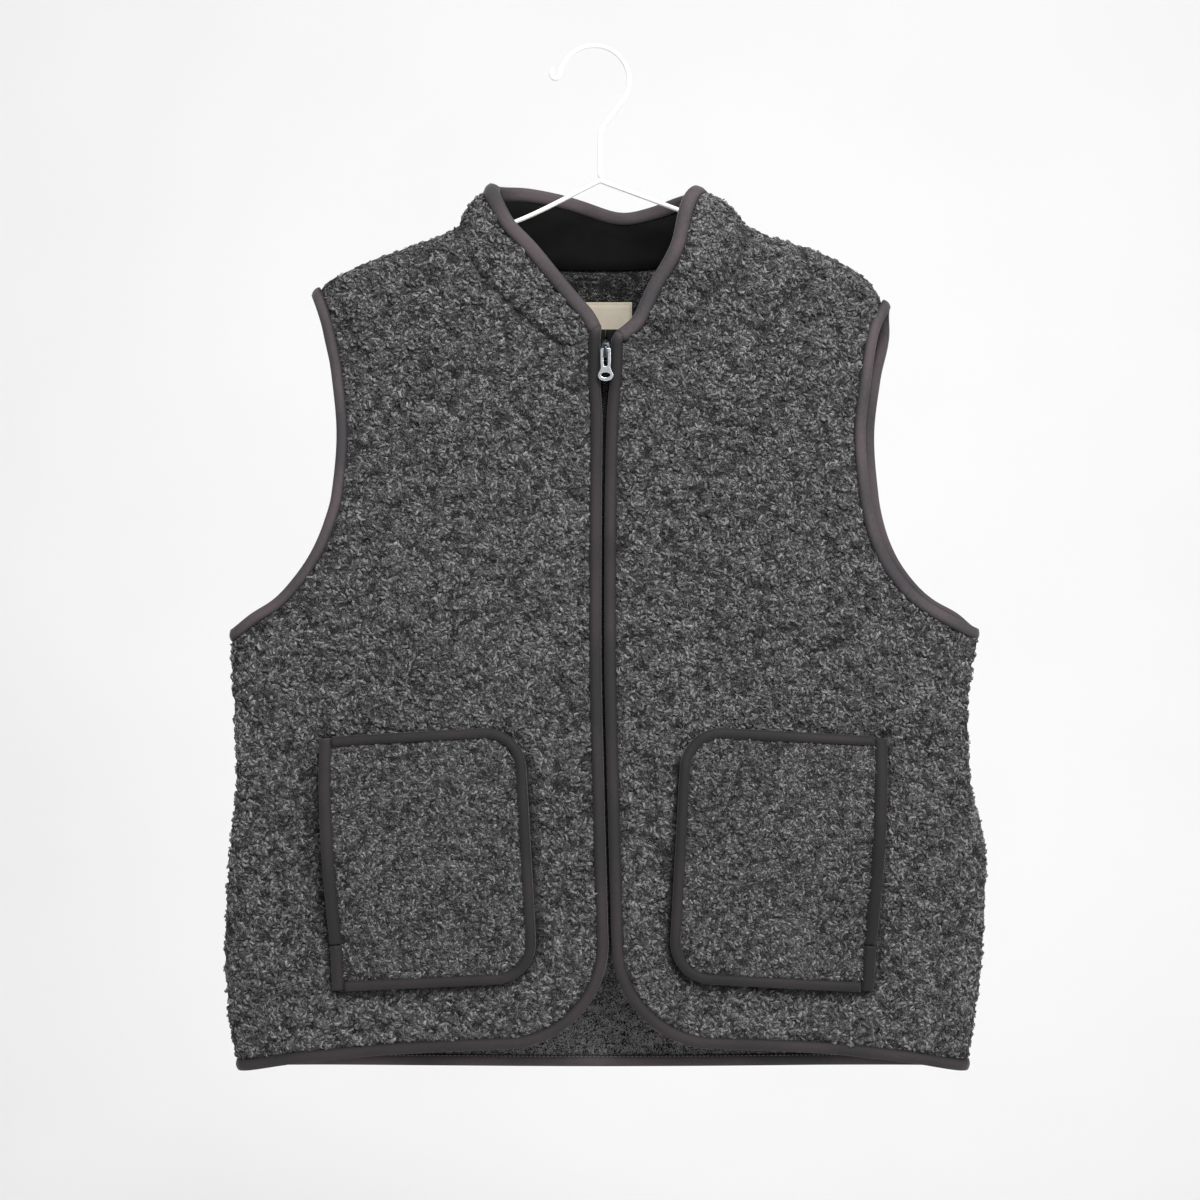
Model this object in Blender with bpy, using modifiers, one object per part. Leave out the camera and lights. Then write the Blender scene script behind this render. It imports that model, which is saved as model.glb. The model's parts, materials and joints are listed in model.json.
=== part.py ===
"""Wool vest with a stand collar, a front zip and two patch pockets, on a white wire hanger.

The sizes and tables are in millimetres and become metres where a mesh or curve is made. +Z is up and the
front faces -Y. The world origin is the inside of the hook's crown, where a peg carries the hanger. The vest
has a frame of its own: x = 0 near the zip, z = 0 at the hem's side ends.

The vest's form is a stack of level sections, each a flattened ring. A place on the cloth is given by across,
which runs from -1 at the -X ridge to 1 at the +X ridge, by its height, and by its face: FRONT or BACK.
"""

import math
from collections import namedtuple

import bmesh
import bpy
import numpy as np
from mathutils import Vector
from mathutils.bvhtree import BVHTree
from mathutils.interpolate import poly_3d_calc

MM = 0.001
FRONT, BACK = -1, 1
MINUS_X, PLUS_X = -1, 1
SIDE_NAMES = {MINUS_X: "right", PLUS_X: "left"}   # the wearer's sides

# Cloth and trim
WOOL = 4.0
POCKET_WOOL = 2.6
FACING = 0.8
FACING_CLEAR = 10.0     # from the collar's edge down to the facing's
LABEL = 0.6
TAPE = 0.9              # one leg of a folded binding
BINDING_REACH = 6.8     # from the cloth's edge to the leg's end
POCKET_REACH = 5.6
MOUTH_REACH = 7.4
GAP = 0.3               # between sewn pieces
FOLD_GAP = 0.7          # between a folded tape's legs and the cloth
SEAM = 0.55             # half the opening left between two panels at a ridge
ROUNDNESS = 2.6         # power of the flattened rings

# Where the vest hangs below the hook
VEST_X = 7.7
VEST_Z = -714.0

# Level sections of the cloth's middle layer: half widths to both ridges, half depths to both faces
Section = namedtuple("Section", "height minus_x plus_x front back")
SECTIONS = [
    Section(640.0, 68.0, 56.0, 26.0, 25.0),
    Section(626.0, 76.0, 62.0, 27.0, 26.0),
    Section(614.0, 80.5, 68.0, 27.0, 26.0),
    Section(600.6, 91.7, 86.0, 27.0, 26.0),
    Section(590.0, 98.6, 96.6, 26.0, 25.0),
    Section(579.6, 114.0, 115.0, 25.0, 24.0),
    Section(569.0, 145.0, 150.0, 24.0, 23.0),
    Section(558.6, 173.0, 173.0, 22.5, 21.5),
    Section(548.0, 194.0, 187.5, 21.0, 20.0),
    Section(537.0, 201.5, 194.0, 20.0, 19.0),
    Section(528.0, 205.0, 199.5, 19.5, 18.5),
    Section(490.0, 218.0, 215.0, 18.0, 17.0),
    Section(440.0, 231.0, 230.0, 17.0, 16.0),
    Section(380.0, 245.0, 246.0, 17.0, 16.0),
    Section(330.0, 255.0, 257.0, 18.0, 17.0),
    Section(307.0, 257.5, 259.5, 19.0, 18.0),
    Section(254.0, 255.5, 252.5, 20.5, 19.0),
    Section(202.0, 253.5, 254.5, 22.0, 20.0),
    Section(149.0, 258.5, 265.0, 23.0, 21.0),
    Section(76.0, 261.5, 262.0, 24.5, 22.5),
    Section(34.0, 258.5, 257.0, 24.5, 22.5),
    Section(2.0, 252.0, 252.0, 24.0, 22.0),
    Section(-20.0, 247.0, 247.0, 23.0, 21.0),
]

# Soft folds: middle, reach along and across the fold, lean from level, and how far the cloth stands out
Fold = namedtuple("Fold", "face x height along across lean out")
FOLDS = [
    Fold(FRONT, -222.0, 212.0, 55.0, 27.0, 8.0, -4.0),
    Fold(FRONT, 226.0, 222.0, 55.0, 27.0, -10.0, -4.5),
    Fold(FRONT, -125.0, 352.0, 80.0, 24.0, -28.0, 2.2),
    Fold(FRONT, 118.0, 345.0, 80.0, 24.0, 26.0, 2.2),
    Fold(FRONT, 150.0, 26.0, 60.0, 30.0, 0.0, -2.5),
    Fold(FRONT, -165.0, 30.0, 60.0, 32.0, 0.0, 2.5),
    Fold(BACK, 0.0, 500.0, 130.0, 24.0, 0.0, -2.5),
    Fold(BACK, -130.0, 210.0, 120.0, 30.0, 70.0, 3.0),
    Fold(BACK, 120.0, 180.0, 130.0, 32.0, 100.0, 3.0),
]

# The zip's line and half the opening between the two front bindings
ZipRow = namedtuple("ZipRow", "height x half_gap")
ZIP_LINE = [
    ZipRow(507.0, 1.9, 3.9),
    ZipRow(486.0, 1.5, 3.8),
    ZipRow(452.0, 1.0, 1.6),
    ZipRow(382.0, 0.0, 1.2),
    ZipRow(300.0, -0.2, 1.2),
    ZipRow(190.0, 2.0, 1.2),
    ZipRow(92.0, 4.8, 1.2),
]
ZIP_TOP = ZIP_LINE[0].height
ZIP_FOOT = ZIP_LINE[-1].height

# Front hem: a round corner below the zip, then a nearly level run to the side
HEM_CORNER_RADIUS = 71.0
HEM_SIDE = 1.2
HEM_BACK_MIDDLE = -3.0
EdgePoint = namedtuple("EdgePoint", "x height")
HEM_RUN = [EdgePoint(140.0, 17.7), EdgePoint(206.0, 10.5)]

# Armholes: distance out from x = 0 to the cloth's edge on the front; the back is cut less deep
ArmholeRow = namedtuple("ArmholeRow", "height minus_x plus_x")
ARMHOLE = [
    ArmholeRow(514.0, 192.5, 190.0),
    ArmholeRow(483.0, 186.5, 184.5),
    ArmholeRow(442.0, 183.0, 180.2),
    ArmholeRow(400.0, 186.5, 183.5),
    ArmholeRow(380.0, 192.0, 187.5),
    ArmholeRow(359.0, 201.5, 195.5),
    ArmholeRow(338.0, 216.5, 210.0),
    ArmholeRow(327.0, 227.5, 222.0),
    ArmholeRow(316.5, 244.0, 239.5),
]
ARMPIT = {MINUS_X: 305.5, PLUS_X: 306.5}
SHOULDER_TIP = {MINUS_X: 539.5, PLUS_X: 531.0}
BACK_ARMHOLE_EXTRA = {MINUS_X: 3.0, PLUS_X: 10.0}

# Neck seam, from the zip to the shoulder, and the collar's free edge above it
NECK_SHOULDER = 589.5
NECK_SEAM = [
    EdgePoint(12.5, 506.0),
    EdgePoint(27.0, 503.0),
    EdgePoint(44.5, 512.5),
    EdgePoint(70.0, 536.0),
    EdgePoint(91.0, 559.5),
]
BACK_NECK_MIDDLE = 560.4
COLLAR_EDGE = {
    MINUS_X: [
        EdgePoint(2.4, 515.5), EdgePoint(6.0, 523.5), EdgePoint(17.0, 535.8), EdgePoint(30.0, 551.2),
        EdgePoint(48.4, 573.2), EdgePoint(63.0, 588.3), EdgePoint(69.5, 601.0), EdgePoint(74.0, 610.5),
    ],
    PLUS_X: [
        EdgePoint(10.0, 512.0), EdgePoint(15.0, 516.0), EdgePoint(20.5, 519.5), EdgePoint(25.6, 529.4),
        EdgePoint(31.2, 542.8), EdgePoint(40.0, 557.0), EdgePoint(48.6, 573.6), EdgePoint(52.4, 592.0),
        EdgePoint(55.0, 602.0), EdgePoint(58.6, 609.0),
    ],
}
COLLAR_RIDGE = {MINUS_X: 617.5, PLUS_X: 613.5}
COLLAR_BACK = [
    EdgePoint(-58.0, 619.5),
    EdgePoint(-34.0, 616.4),
    EdgePoint(-12.0, 610.4),
    EdgePoint(14.0, 602.4),
    EdgePoint(38.0, 607.6),
    EdgePoint(55.0, 613.0),
]

# Patch pockets: outer lower corner (the mouth's foot), size, tilt and the inner corners' radii
POCKET_FOOT_OUT = 183.5
POCKET_FOOT_HEIGHT = 60.5
POCKET_WIDTH = 138.0
POCKET_HEIGHT = 172.0
POCKET_LEAN = 3.2
POCKET_RADIUS = 27.0
POCKET_MOUTH_STAND = 11.0   # how far the free edge gapes
POCKET_TAB = 31.0           # height of the closing tab
TAB_ROWS = 2

# Zip hardware
ZIP_TAPE = 0.7
ZIP_TAPE_WIDTH = 13.0
ZIP_CHAIN_WIDTH = 4.4
ZIP_CHAIN = 1.8
SLIDER_TOP, SLIDER_FOOT = 505.0, 492.0
SLIDER_WIDTH = 6.8
SLIDER_DEPTH = 6.6
BAIL_WIDTH = 2.6
BAIL_BAR = 1.5
PULL_THICKNESS = 1.4
PULL_HEIGHT = 499.3     # height of the hinge in the bail
PULL_STAND = 5.2        # from the cloth's middle layer out to the hinge
PullRow = namedtuple("PullRow", "drop half_width")
PULL_OUTLINE = [
    PullRow(-0.8, 3.1),
    PullRow(-0.2, 3.5),
    PullRow(9.0, 3.5),
    PullRow(12.4, 3.2),
    PullRow(14.6, 4.1),
    PullRow(16.4, 5.1),
    PullRow(17.8, 5.3),
    PullRow(19.4, 4.7),
    PullRow(20.6, 3.0),
    PullRow(21.1, 1.0),
]
PULL_SLOT_HALF = 1.75
PULL_SLOT_TOP, PULL_SLOT_FOOT = 0.8, 11.6
PULL_HOLE_DROP = 17.3
PULL_HOLE_HALF = (3.5, 2.1)

# Neck label
LABEL_WIDTH, LABEL_HEIGHT = 41.0, 25.0
LABEL_TOP = 538.5

# Hanger
WIRE = 3.2
HOOK_X, HOOK_RADIUS = 1.5, 24.5
HOOK_NECK_X = 5.6
HOOK_NECK_BEND = -60.0
HOOK_NECK_FOOT = -91.1
HOOK_RETURN_RADIUS = 2.9
ARM_PEAK = EdgePoint(-2.1, 621.0)      # in the vest's frame, like the arms' other points
ARM_MIDDLE = {MINUS_X: EdgePoint(-62.0, 592.0), PLUS_X: EdgePoint(59.5, 598.0)}
ARM_RESTS = (116.0, 140.0, 164.0, 184.0)

# Columns and rows of the panels. Steps close up towards a ridge, where the cloth turns sharply.
RIDGE_STEPS = (0, 2.4, 5.2, 8.6, 13.5, 22.0)
HEM_STEPS = 12          # even steps before the ridge, of a hem, an armhole and a neck edge
ARMHOLE_STEPS = 12
NECK_STEPS = 4
SIDE_ROWS = 7
FOOT_LEVEL = 315.0      # height on the inner edges of the row that meets the armhole's foot
EDGE_ROWS = ARMHOLE_STEPS - NECK_STEPS      # from the armhole's foot to the neck
COLLAR_ROWS = (0, 0.24, 0.45, 0.62, 1)


def through(xs, ys, at):
    """Value at a place on the smooth curve through a table's points, which never overshoots them."""
    order = np.argsort(xs)
    xs = np.asarray(xs, float)[order]
    ys = np.asarray(ys, float)[order]
    run = np.diff(xs)
    rise = np.diff(ys) / run
    slope = np.concatenate(([rise[0]], np.zeros(len(rise) - 1), [rise[-1]]))
    level = rise[:-1] * rise[1:] > 0
    slope[1:-1][level] = (2 * rise[:-1] * rise[1:] / np.where(level, rise[:-1] + rise[1:], 1))[level]
    at = np.clip(at, xs[0], xs[-1])
    cell = np.clip(np.searchsorted(xs, at) - 1, 0, len(run) - 1)
    t = (at - xs[cell]) / run[cell]
    start = (2 * t**3 - 3 * t**2 + 1) * ys[cell] + (t**3 - 2 * t**2 + t) * run[cell] * slope[cell]
    end = (3 * t**2 - 2 * t**3) * ys[cell + 1] + (t**3 - t**2) * run[cell] * slope[cell + 1]
    return start + end


def column(rows, key, value, at):
    """A named column of a table, read smoothly at a place along another column."""
    return through([getattr(row, key) for row in rows], [getattr(row, value) for row in rows], at)


def half_width(side, height):
    """Distance from x = 0 to the ridge on the side given by a sign or by an x."""
    minus = column(SECTIONS, "height", "minus_x", height)
    plus = column(SECTIONS, "height", "plus_x", height)
    return np.where(np.asarray(side) < 0, minus, plus)


def half_depth(face, height):
    """Distance from y = 0 to the middle layer on a face."""
    front = column(SECTIONS, "height", "front", height)
    back = column(SECTIONS, "height", "back", height)
    return np.where(np.asarray(face) < 0, front, back)


def fold_out(face, x, height):
    """How far the soft folds move the cloth out at a place. It fades to nothing at the ridges."""
    out = np.zeros(np.broadcast(x, height).shape)
    for fold in FOLDS:
        lean = math.radians(fold.lean)
        dx, dz = x - fold.x, height - fold.height
        along = (dx * math.cos(lean) + dz * math.sin(lean)) / fold.along
        across = (dz * math.cos(lean) - dx * math.sin(lean)) / fold.across
        out = out + np.where(np.asarray(face) == fold.face, fold.out * np.exp(-along**2 - across**2), 0)
    share = np.abs(x) / half_width(x, height)
    return out * np.clip((1 - share) / 0.12, 0, 1)


def cloth_points(across, height, face, seam=0.0):
    """Points of the cloth's middle layer. seam keeps a panel that ends at a ridge off the other panel."""
    across, height = np.broadcast_arrays(np.asarray(across, float), np.asarray(height, float))
    x = across * half_width(across, height)
    ring = np.clip(1 - np.abs(across) ** ROUNDNESS, 0, 1) ** (1 / ROUNDNESS)
    depth = half_depth(face, height) * ring + fold_out(face, x, height)
    return np.stack((x, face * np.maximum(depth, seam), height), axis=-1)


def cloth_normals(points):
    """Directions out of the cloth at points of its middle layer, from the slope of the ring formula."""
    def level(x, y, z):
        face = np.where(y < 0, FRONT, BACK)
        depth = np.maximum(np.abs(y) - fold_out(face, x, z), 0)
        return (np.abs(x) / half_width(x, z)) ** ROUNDNESS + (depth / half_depth(face, z)) ** ROUNDNESS

    step = 0.05
    x, y, z = points[..., 0], points[..., 1], points[..., 2]
    slope = np.stack((
        level(x + step, y, z) - level(x - step, y, z),
        level(x, y + step, z) - level(x, y - step, z),
        level(x, y, z + step) - level(x, y, z - step),
    ), axis=-1)
    return slope / np.linalg.norm(slope, axis=-1, keepdims=True)


def moved_out(points, distance):
    """Points of the middle layer, moved out of the cloth. A negative distance moves them in."""
    return points + cloth_normals(points) * np.asarray(distance)[..., None]


def on_cloth(x, height):
    """A plan position as (across, height)."""
    return np.stack((np.clip(x / half_width(x, height), -1, 1), np.broadcast_to(height, np.shape(x))), axis=-1)


def lengths_along(points):
    """Length from a line's first point to each of its points."""
    return np.concatenate(([0], np.cumsum(np.linalg.norm(np.diff(points, axis=0), axis=1))))


def smooth_route(points, shares):
    """Points on a smooth plan curve through hand-chosen points, at shares of its length."""
    points = np.array(points, float)
    knots = lengths_along(points)
    at = np.asarray(shares) * knots[-1]
    return np.stack((through(knots, points[:, 0], at), through(knots, points[:, 1], at)), axis=-1)


def fine_route(points):
    """A smooth plan curve with very many points, closest together near both ends."""
    return smooth_route(points, spread(spread(np.linspace(0, 1, 1500))))


def shared_out(route, face, shares):
    """Places on a plan curve, as (across, height) rows. shares is a function of its length on the cloth."""
    places = on_cloth(route[:, 0], route[:, 1])
    length = lengths_along(cloth_points(places[:, 0], places[:, 1], face))
    at = shares(length[-1]) * length[-1]
    return np.stack((np.interp(at, length, places[:, 0]), np.interp(at, length, places[:, 1])), axis=-1)


def to_ridge(even_steps):
    """A function that gives shares of an edge's length, with short steps at the ridge where it ends."""
    def shares(length):
        steps = np.asarray(RIDGE_STEPS) / length
        return np.concatenate((np.linspace(0, 1 - steps[-1], even_steps + 1), 1 - steps[-2::-1]))
    return shares


def patch(bottom, top, start, end, rise):
    """Rows of places inside four edges that meet at their corners, blended from all four."""
    u = ((bottom[:, 0] - bottom[0, 0]) / (bottom[-1, 0] - bottom[0, 0]))[None, :, None]
    v = np.asarray(rise)[:, None, None]
    level = (1 - v) * bottom[None] + v * top[None] + (1 - u) * start[:, None] + u * end[:, None]
    corners = (1 - u) * (1 - v) * bottom[0] + u * (1 - v) * bottom[-1] + (1 - u) * v * top[0] + u * v * top[-1]
    return level - corners


def ridge(side, heights):
    """Places along a ridge."""
    return np.stack((np.full(len(heights), float(side)), np.asarray(heights, float)), axis=-1)


def spread(shares):
    """Shares from 0 to 1, drawn closer to both ends."""
    return 0.5 - 0.5 * np.cos(shares * math.pi)


def front_edge_x(side, height):
    """The cloth's front edge, behind its binding's fold."""
    half_gap = column(ZIP_LINE, "height", "half_gap", height)
    return column(ZIP_LINE, "height", "x", height) + side * (half_gap + TAPE + GAP)


def front_hem(side):
    """The front hem from the zip's foot round the corner to the side ridge."""
    start = front_edge_x(side, ZIP_FOOT)
    turn = np.radians(np.linspace(0, 84, 60))
    corner_x = start + side * HEM_CORNER_RADIUS * (1 - np.cos(turn))
    corner_z = ZIP_FOOT - HEM_CORNER_RADIUS * np.sin(turn)
    run = [(corner_x[-1], corner_z[-1])] + [(side * point.x, point.height) for point in HEM_RUN]
    run.append((side * half_width(side, HEM_SIDE), HEM_SIDE))
    corner = np.stack((corner_x, corner_z), axis=-1)
    return shared_out(np.concatenate((corner[:-1], fine_route(run))), FRONT, to_ridge(HEM_STEPS))


def back_hem(side):
    """Half of the back hem, from the middle to the side ridge."""
    turn = spread(np.linspace(0, 1, 1500)) * math.pi / 2
    height = HEM_BACK_MIDDLE + (HEM_SIDE - HEM_BACK_MIDDLE) * np.sin(turn) ** 2
    return shared_out(np.stack((side * np.sin(turn) * half_width(side, height), height), axis=-1), BACK, to_ridge(HEM_STEPS))


def armhole(side, face):
    """The armhole's edge in two runs: its foot, from the ridge in, and from there up to the shoulder tip."""
    extra = BACK_ARMHOLE_EXTRA[side] if face == BACK else 0.0
    field = "minus_x" if side == MINUS_X else "plus_x"
    ends = [(side * half_width(side, height), height) for height in (ARMPIT[side], SHOULDER_TIP[side])]
    middle = [(side * (getattr(row, field) + extra), row.height) for row in reversed(ARMHOLE)]
    route = fine_route([ends[0], *middle, ends[1]])
    foot = shared_out(route, face, lambda length: np.asarray(RIDGE_STEPS) / length)
    upper = shared_out(route, face, upper_armhole)
    return foot, upper


def upper_armhole(length):
    """Shares of an armhole's length above its foot."""
    foot = RIDGE_STEPS[-1] / length
    return foot + (1 - foot) * to_ridge(ARMHOLE_STEPS)(length - RIDGE_STEPS[-1])


def front_neck_seam(side):
    """The seam between a front and the collar, from the zip to the shoulder."""
    middle = column(ZIP_LINE, "height", "x", ZIP_TOP)
    route = [(front_edge_x(side, ZIP_TOP), ZIP_TOP)]
    route += [(middle + side * point.x, point.height) for point in NECK_SEAM]
    route.append((side * half_width(side, NECK_SHOULDER), NECK_SHOULDER))
    return shared_out(fine_route(route), FRONT, to_ridge(NECK_STEPS))


def back_neck_seam(side):
    """Half of the seam between the back and the collar, from the middle to the ridge."""
    share = np.sin(spread(np.linspace(0, 1, 1500)) * math.pi / 2)
    height = BACK_NECK_MIDDLE + (NECK_SHOULDER - BACK_NECK_MIDDLE) * share ** 3
    route = np.stack((side * share * half_width(side, NECK_SHOULDER), height), axis=-1)
    return shared_out(route, BACK, to_ridge(NECK_STEPS))


def collar_front_edge(side):
    """The collar's free edge on the front, from the zip to the ridge."""
    route = [(side * point.x, point.height) for point in COLLAR_EDGE[side]]
    route.append((side * half_width(side, COLLAR_RIDGE[side]), COLLAR_RIDGE[side]))
    return shared_out(fine_route(route), FRONT, to_ridge(NECK_STEPS))


def collar_back_edge(side):
    """Half of the collar's free edge on the back, from the middle to the ridge."""
    start = (0.0, column(COLLAR_BACK, "x", "height", 0.0))
    end = (side * half_width(side, COLLAR_RIDGE[side]), COLLAR_RIDGE[side])
    between = sorted((side * point.x, point.height) for point in COLLAR_BACK if side * point.x > 0)
    return shared_out(fine_route([start, *[(side * x, height) for x, height in between], end]), BACK, to_ridge(NECK_STEPS))


def make_material(name, hex_colour, roughness, metallic=0.0):
    """A Principled material from an sRGB hex colour."""
    srgb = [int(hex_colour[k:k + 2], 16) / 255 for k in (0, 2, 4)]
    linear = [c / 12.92 if c <= 0.04045 else ((c + 0.055) / 1.055) ** 2.4 for c in srgb]
    material = bpy.data.materials.new(name)
    material.use_nodes = True
    shader = material.node_tree.nodes["Principled BSDF"]
    shader.inputs["Base Color"].default_value = (*linear, 1)
    shader.inputs["Roughness"].default_value = roughness
    shader.inputs["Metallic"].default_value = metallic
    material.diffuse_color = (*linear, 1)
    return material


class Workshop:
    """The collections, materials and frames that the pieces are made in."""

    def __init__(self):
        for stale in list(bpy.data.objects):
            bpy.data.objects.remove(stale, do_unlink=True)
        self.parts = self.collection("wool_vest_on_hanger")
        self.cutters = self.collection("cutters")
        self.wool = make_material("curly_wool", "525252", 0.95)
        self.binding = make_material("binding_tape", "474244", 0.6)
        self.black = make_material("black_cotton", "1C1C1C", 0.8)
        self.cream = make_material("cream_label", "C9C0AC", 0.8)
        self.zip_black = make_material("zip_nylon", "141414", 0.5)
        self.gunmetal = make_material("slider_gunmetal", "55585C", 0.35, 1.0)
        self.silver = make_material("pull_silver", "C4C6CA", 0.28, 1.0)
        self.white = make_material("white_coated_wire", "F0EFEC", 0.35)
        self.vest = bpy.data.objects.new("vest_frame", None)
        self.vest.location = (VEST_X * MM, 0, VEST_Z * MM)
        self.parts.objects.link(self.vest)
        bpy.context.view_layer.update()

    @staticmethod
    def collection(name):
        made = bpy.data.collections.new(name)
        bpy.context.scene.collection.children.link(made)
        return made

    def add(self, name, data, material, parent=None):
        """One named piece, in the vest's frame if a parent is given."""
        piece = bpy.data.objects.new(name, data)
        data.materials.append(material)
        self.parts.objects.link(piece)
        piece.parent = parent
        return piece

    def add_cloth(self, name, grids, wall, material):
        """A cloth piece: open grids of middle-layer points with a wall raised on both sides.

        Equal points of the grids become one. Returns the piece and each grid's point numbers.
        """
        numbers = {}
        corners = []
        for grid in grids:
            keys = [tuple(point) for point in np.round(grid.reshape(-1, 3), 4)]
            for key in keys:
                numbers.setdefault(key, len(numbers))
            corners.append(np.array([numbers[key] for key in keys]).reshape(grid.shape[:2]))
        faces = [
            np.stack((corner[:-1, :-1], corner[:-1, 1:], corner[1:, 1:], corner[1:, :-1]), axis=-1).reshape(-1, 4)
            for corner in corners
        ]
        mesh = bpy.data.meshes.new(name)
        mesh.from_pydata((np.array(list(numbers)) * MM).tolist(), [], np.concatenate(faces).tolist())
        mesh.shade_smooth()
        piece = self.add(name, mesh, material, self.vest)
        raised = piece.modifiers.new("wall", "SOLIDIFY")
        raised.thickness = wall * MM
        raised.offset = 0
        raised.use_even_offset = True
        facets = piece.modifiers.new("facets", "TRIANGULATE")
        facets.quad_method = "BEAUTY"
        return piece, corners

    def add_binding(self, name, hosts, wall, reach, ends=None):
        """A tape folded round an edge.

        hosts are (cloth piece, lines) in order. A line is the point numbers from a place on the edge into the
        cloth, and the tape's legs follow it; a line of one point takes the shortest way in. ends shortens the
        two ends, in millimetres. Without ends the tape is a loop that crosses the seams between its hosts.
        """
        stations = []
        for piece, lines in hosts:
            layer = Layer(piece.data)
            stations += [(layer, line) for line in lines]
        points = [layer.points[line[0]] for layer, line in stations]
        rings = []
        for i, (layer, line) in enumerate(stations):
            before = points[i - 1] if i or not ends else points[i]
            after = points[(i + 1) % len(points)] if i + 1 < len(points) or not ends else points[i]
            rings.append(fold_ring(layer, line, (after - before).normalized(), wall, reach))
        if ends:
            rings = trimmed(trimmed(rings, ends[0])[::-1], ends[1])[::-1]
        else:
            half = len(hosts[0][1])
            seams = [halfway(rings[half - 1], rings[half]), halfway(rings[-1], rings[0])]
            rings = [*rings[1:half - 1], seams[0], *rings[half + 1:-1], seams[1]]
        return self.add(name, tube_mesh(name, rings, closed=not ends), self.binding, self.vest)

    def add_wire(self, name, points, parent=None):
        """A bent wire along points in millimetres."""
        curve = bpy.data.curves.new(name, "CURVE")
        curve.dimensions = "3D"
        curve.bevel_depth = WIRE / 2 * MM
        curve.bevel_resolution = 2
        curve.use_fill_caps = True
        spline = curve.splines.new("POLY")
        spline.points.add(len(points) - 1)
        for knot, (x, z) in zip(spline.points, points):
            knot.co = (x * MM, 0, z * MM, 1)
        return self.add(name, curve, self.white, parent)


class Layer:
    """A cloth piece's middle layer, to find places on it and the directions out of it."""

    def __init__(self, mesh):
        self.points = [vert.co.copy() for vert in mesh.vertices]
        self.normals = [vert.normal.copy() for vert in mesh.vertices]
        self.corners = [tuple(face.vertices) for face in mesh.polygons]
        self.tree = BVHTree.FromPolygons(self.points, self.corners)

    def distance(self, point):
        """How far a point is from the layer."""
        return self.tree.find_nearest(point)[3]

    def nearest(self, point):
        """The nearest place on the layer, and the smoothed direction out of it there."""
        place, _, face, _ = self.tree.find_nearest(point)
        corners = self.corners[face]
        weights = poly_3d_calc([self.points[i] for i in corners], place)
        normal = sum((self.normals[i] * weight for i, weight in zip(corners, weights)), Vector())
        return place, normal.normalized()

    def along_line(self, line, inward, reach):
        """The place where a line of points has gone in by reach, and the direction out of the layer there."""
        start = self.points[line[0]]
        for one, two in zip(line, line[1:]):
            low = (self.points[one] - start).dot(inward)
            high = (self.points[two] - start).dot(inward)
            if high >= reach:
                share = (reach - low) / (high - low)
                normal = self.normals[one].lerp(self.normals[two], share)
                return self.points[one].lerp(self.points[two], share), normal.normalized()
        return self.nearest(start + inward * reach)


def halfway(one, two):
    """The ring between two rings."""
    return [a.lerp(b, 0.5) for a, b in zip(one, two)]


def trimmed(rings, cut):
    """A tape's rings with the first end cut back by a length in millimetres."""
    cut *= MM
    while cut > 0:
        step = (rings[1][0] - rings[0][0]).length
        if step > cut:
            return [[one.lerp(two, cut / step) for one, two in zip(rings[0], rings[1])], *rings[1:]]
        rings = rings[1:]
        cut -= step
    return rings


def fold_ring(layer, line, along, wall, reach):
    """The eight corners of a folded tape round one point of an edge."""
    point, normal = layer.points[line[0]], layer.normals[line[0]]
    inward = normal.cross(along).normalized()
    probe = 3 * MM
    if layer.distance(point + inward * probe) > layer.distance(point - inward * probe):
        inward.negate()
    foot, foot_normal = layer.along_line(line, inward, reach * MM)
    near = (wall / 2 + FOLD_GAP) * MM
    far = near + TAPE * MM
    web_near = point - inward * GAP * MM
    web_far = web_near - inward * TAPE * MM
    return [
        web_far + normal * far, foot + foot_normal * far, foot + foot_normal * near, web_near + normal * near,
        web_near - normal * near, foot - foot_normal * near, foot - foot_normal * far, web_far - normal * far,
    ]


def tube_mesh(name, rings, closed):
    """A closed body through rings of eight corners, with its faces turned out."""
    body = bmesh.new()
    corners = [[body.verts.new(corner) for corner in ring] for ring in rings]
    count = len(corners[0])
    for i in range(len(corners) if closed else len(corners) - 1):
        one, two = corners[i], corners[(i + 1) % len(corners)]
        for k in range(count):
            body.faces.new((one[k], one[(k + 1) % count], two[(k + 1) % count], two[k]))
    if not closed:
        for ring in (corners[0], corners[-1]):
            for quad in ((0, 1, 2, 3), (0, 3, 4, 7), (4, 5, 6, 7)):
                body.faces.new([ring[k] for k in quad])
    bmesh.ops.recalc_face_normals(body, faces=body.faces)
    bmesh.ops.triangulate(body, faces=body.faces, quad_method="BEAUTY")
    mesh = bpy.data.meshes.new(name)
    body.to_mesh(mesh)
    body.free()
    return mesh


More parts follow.
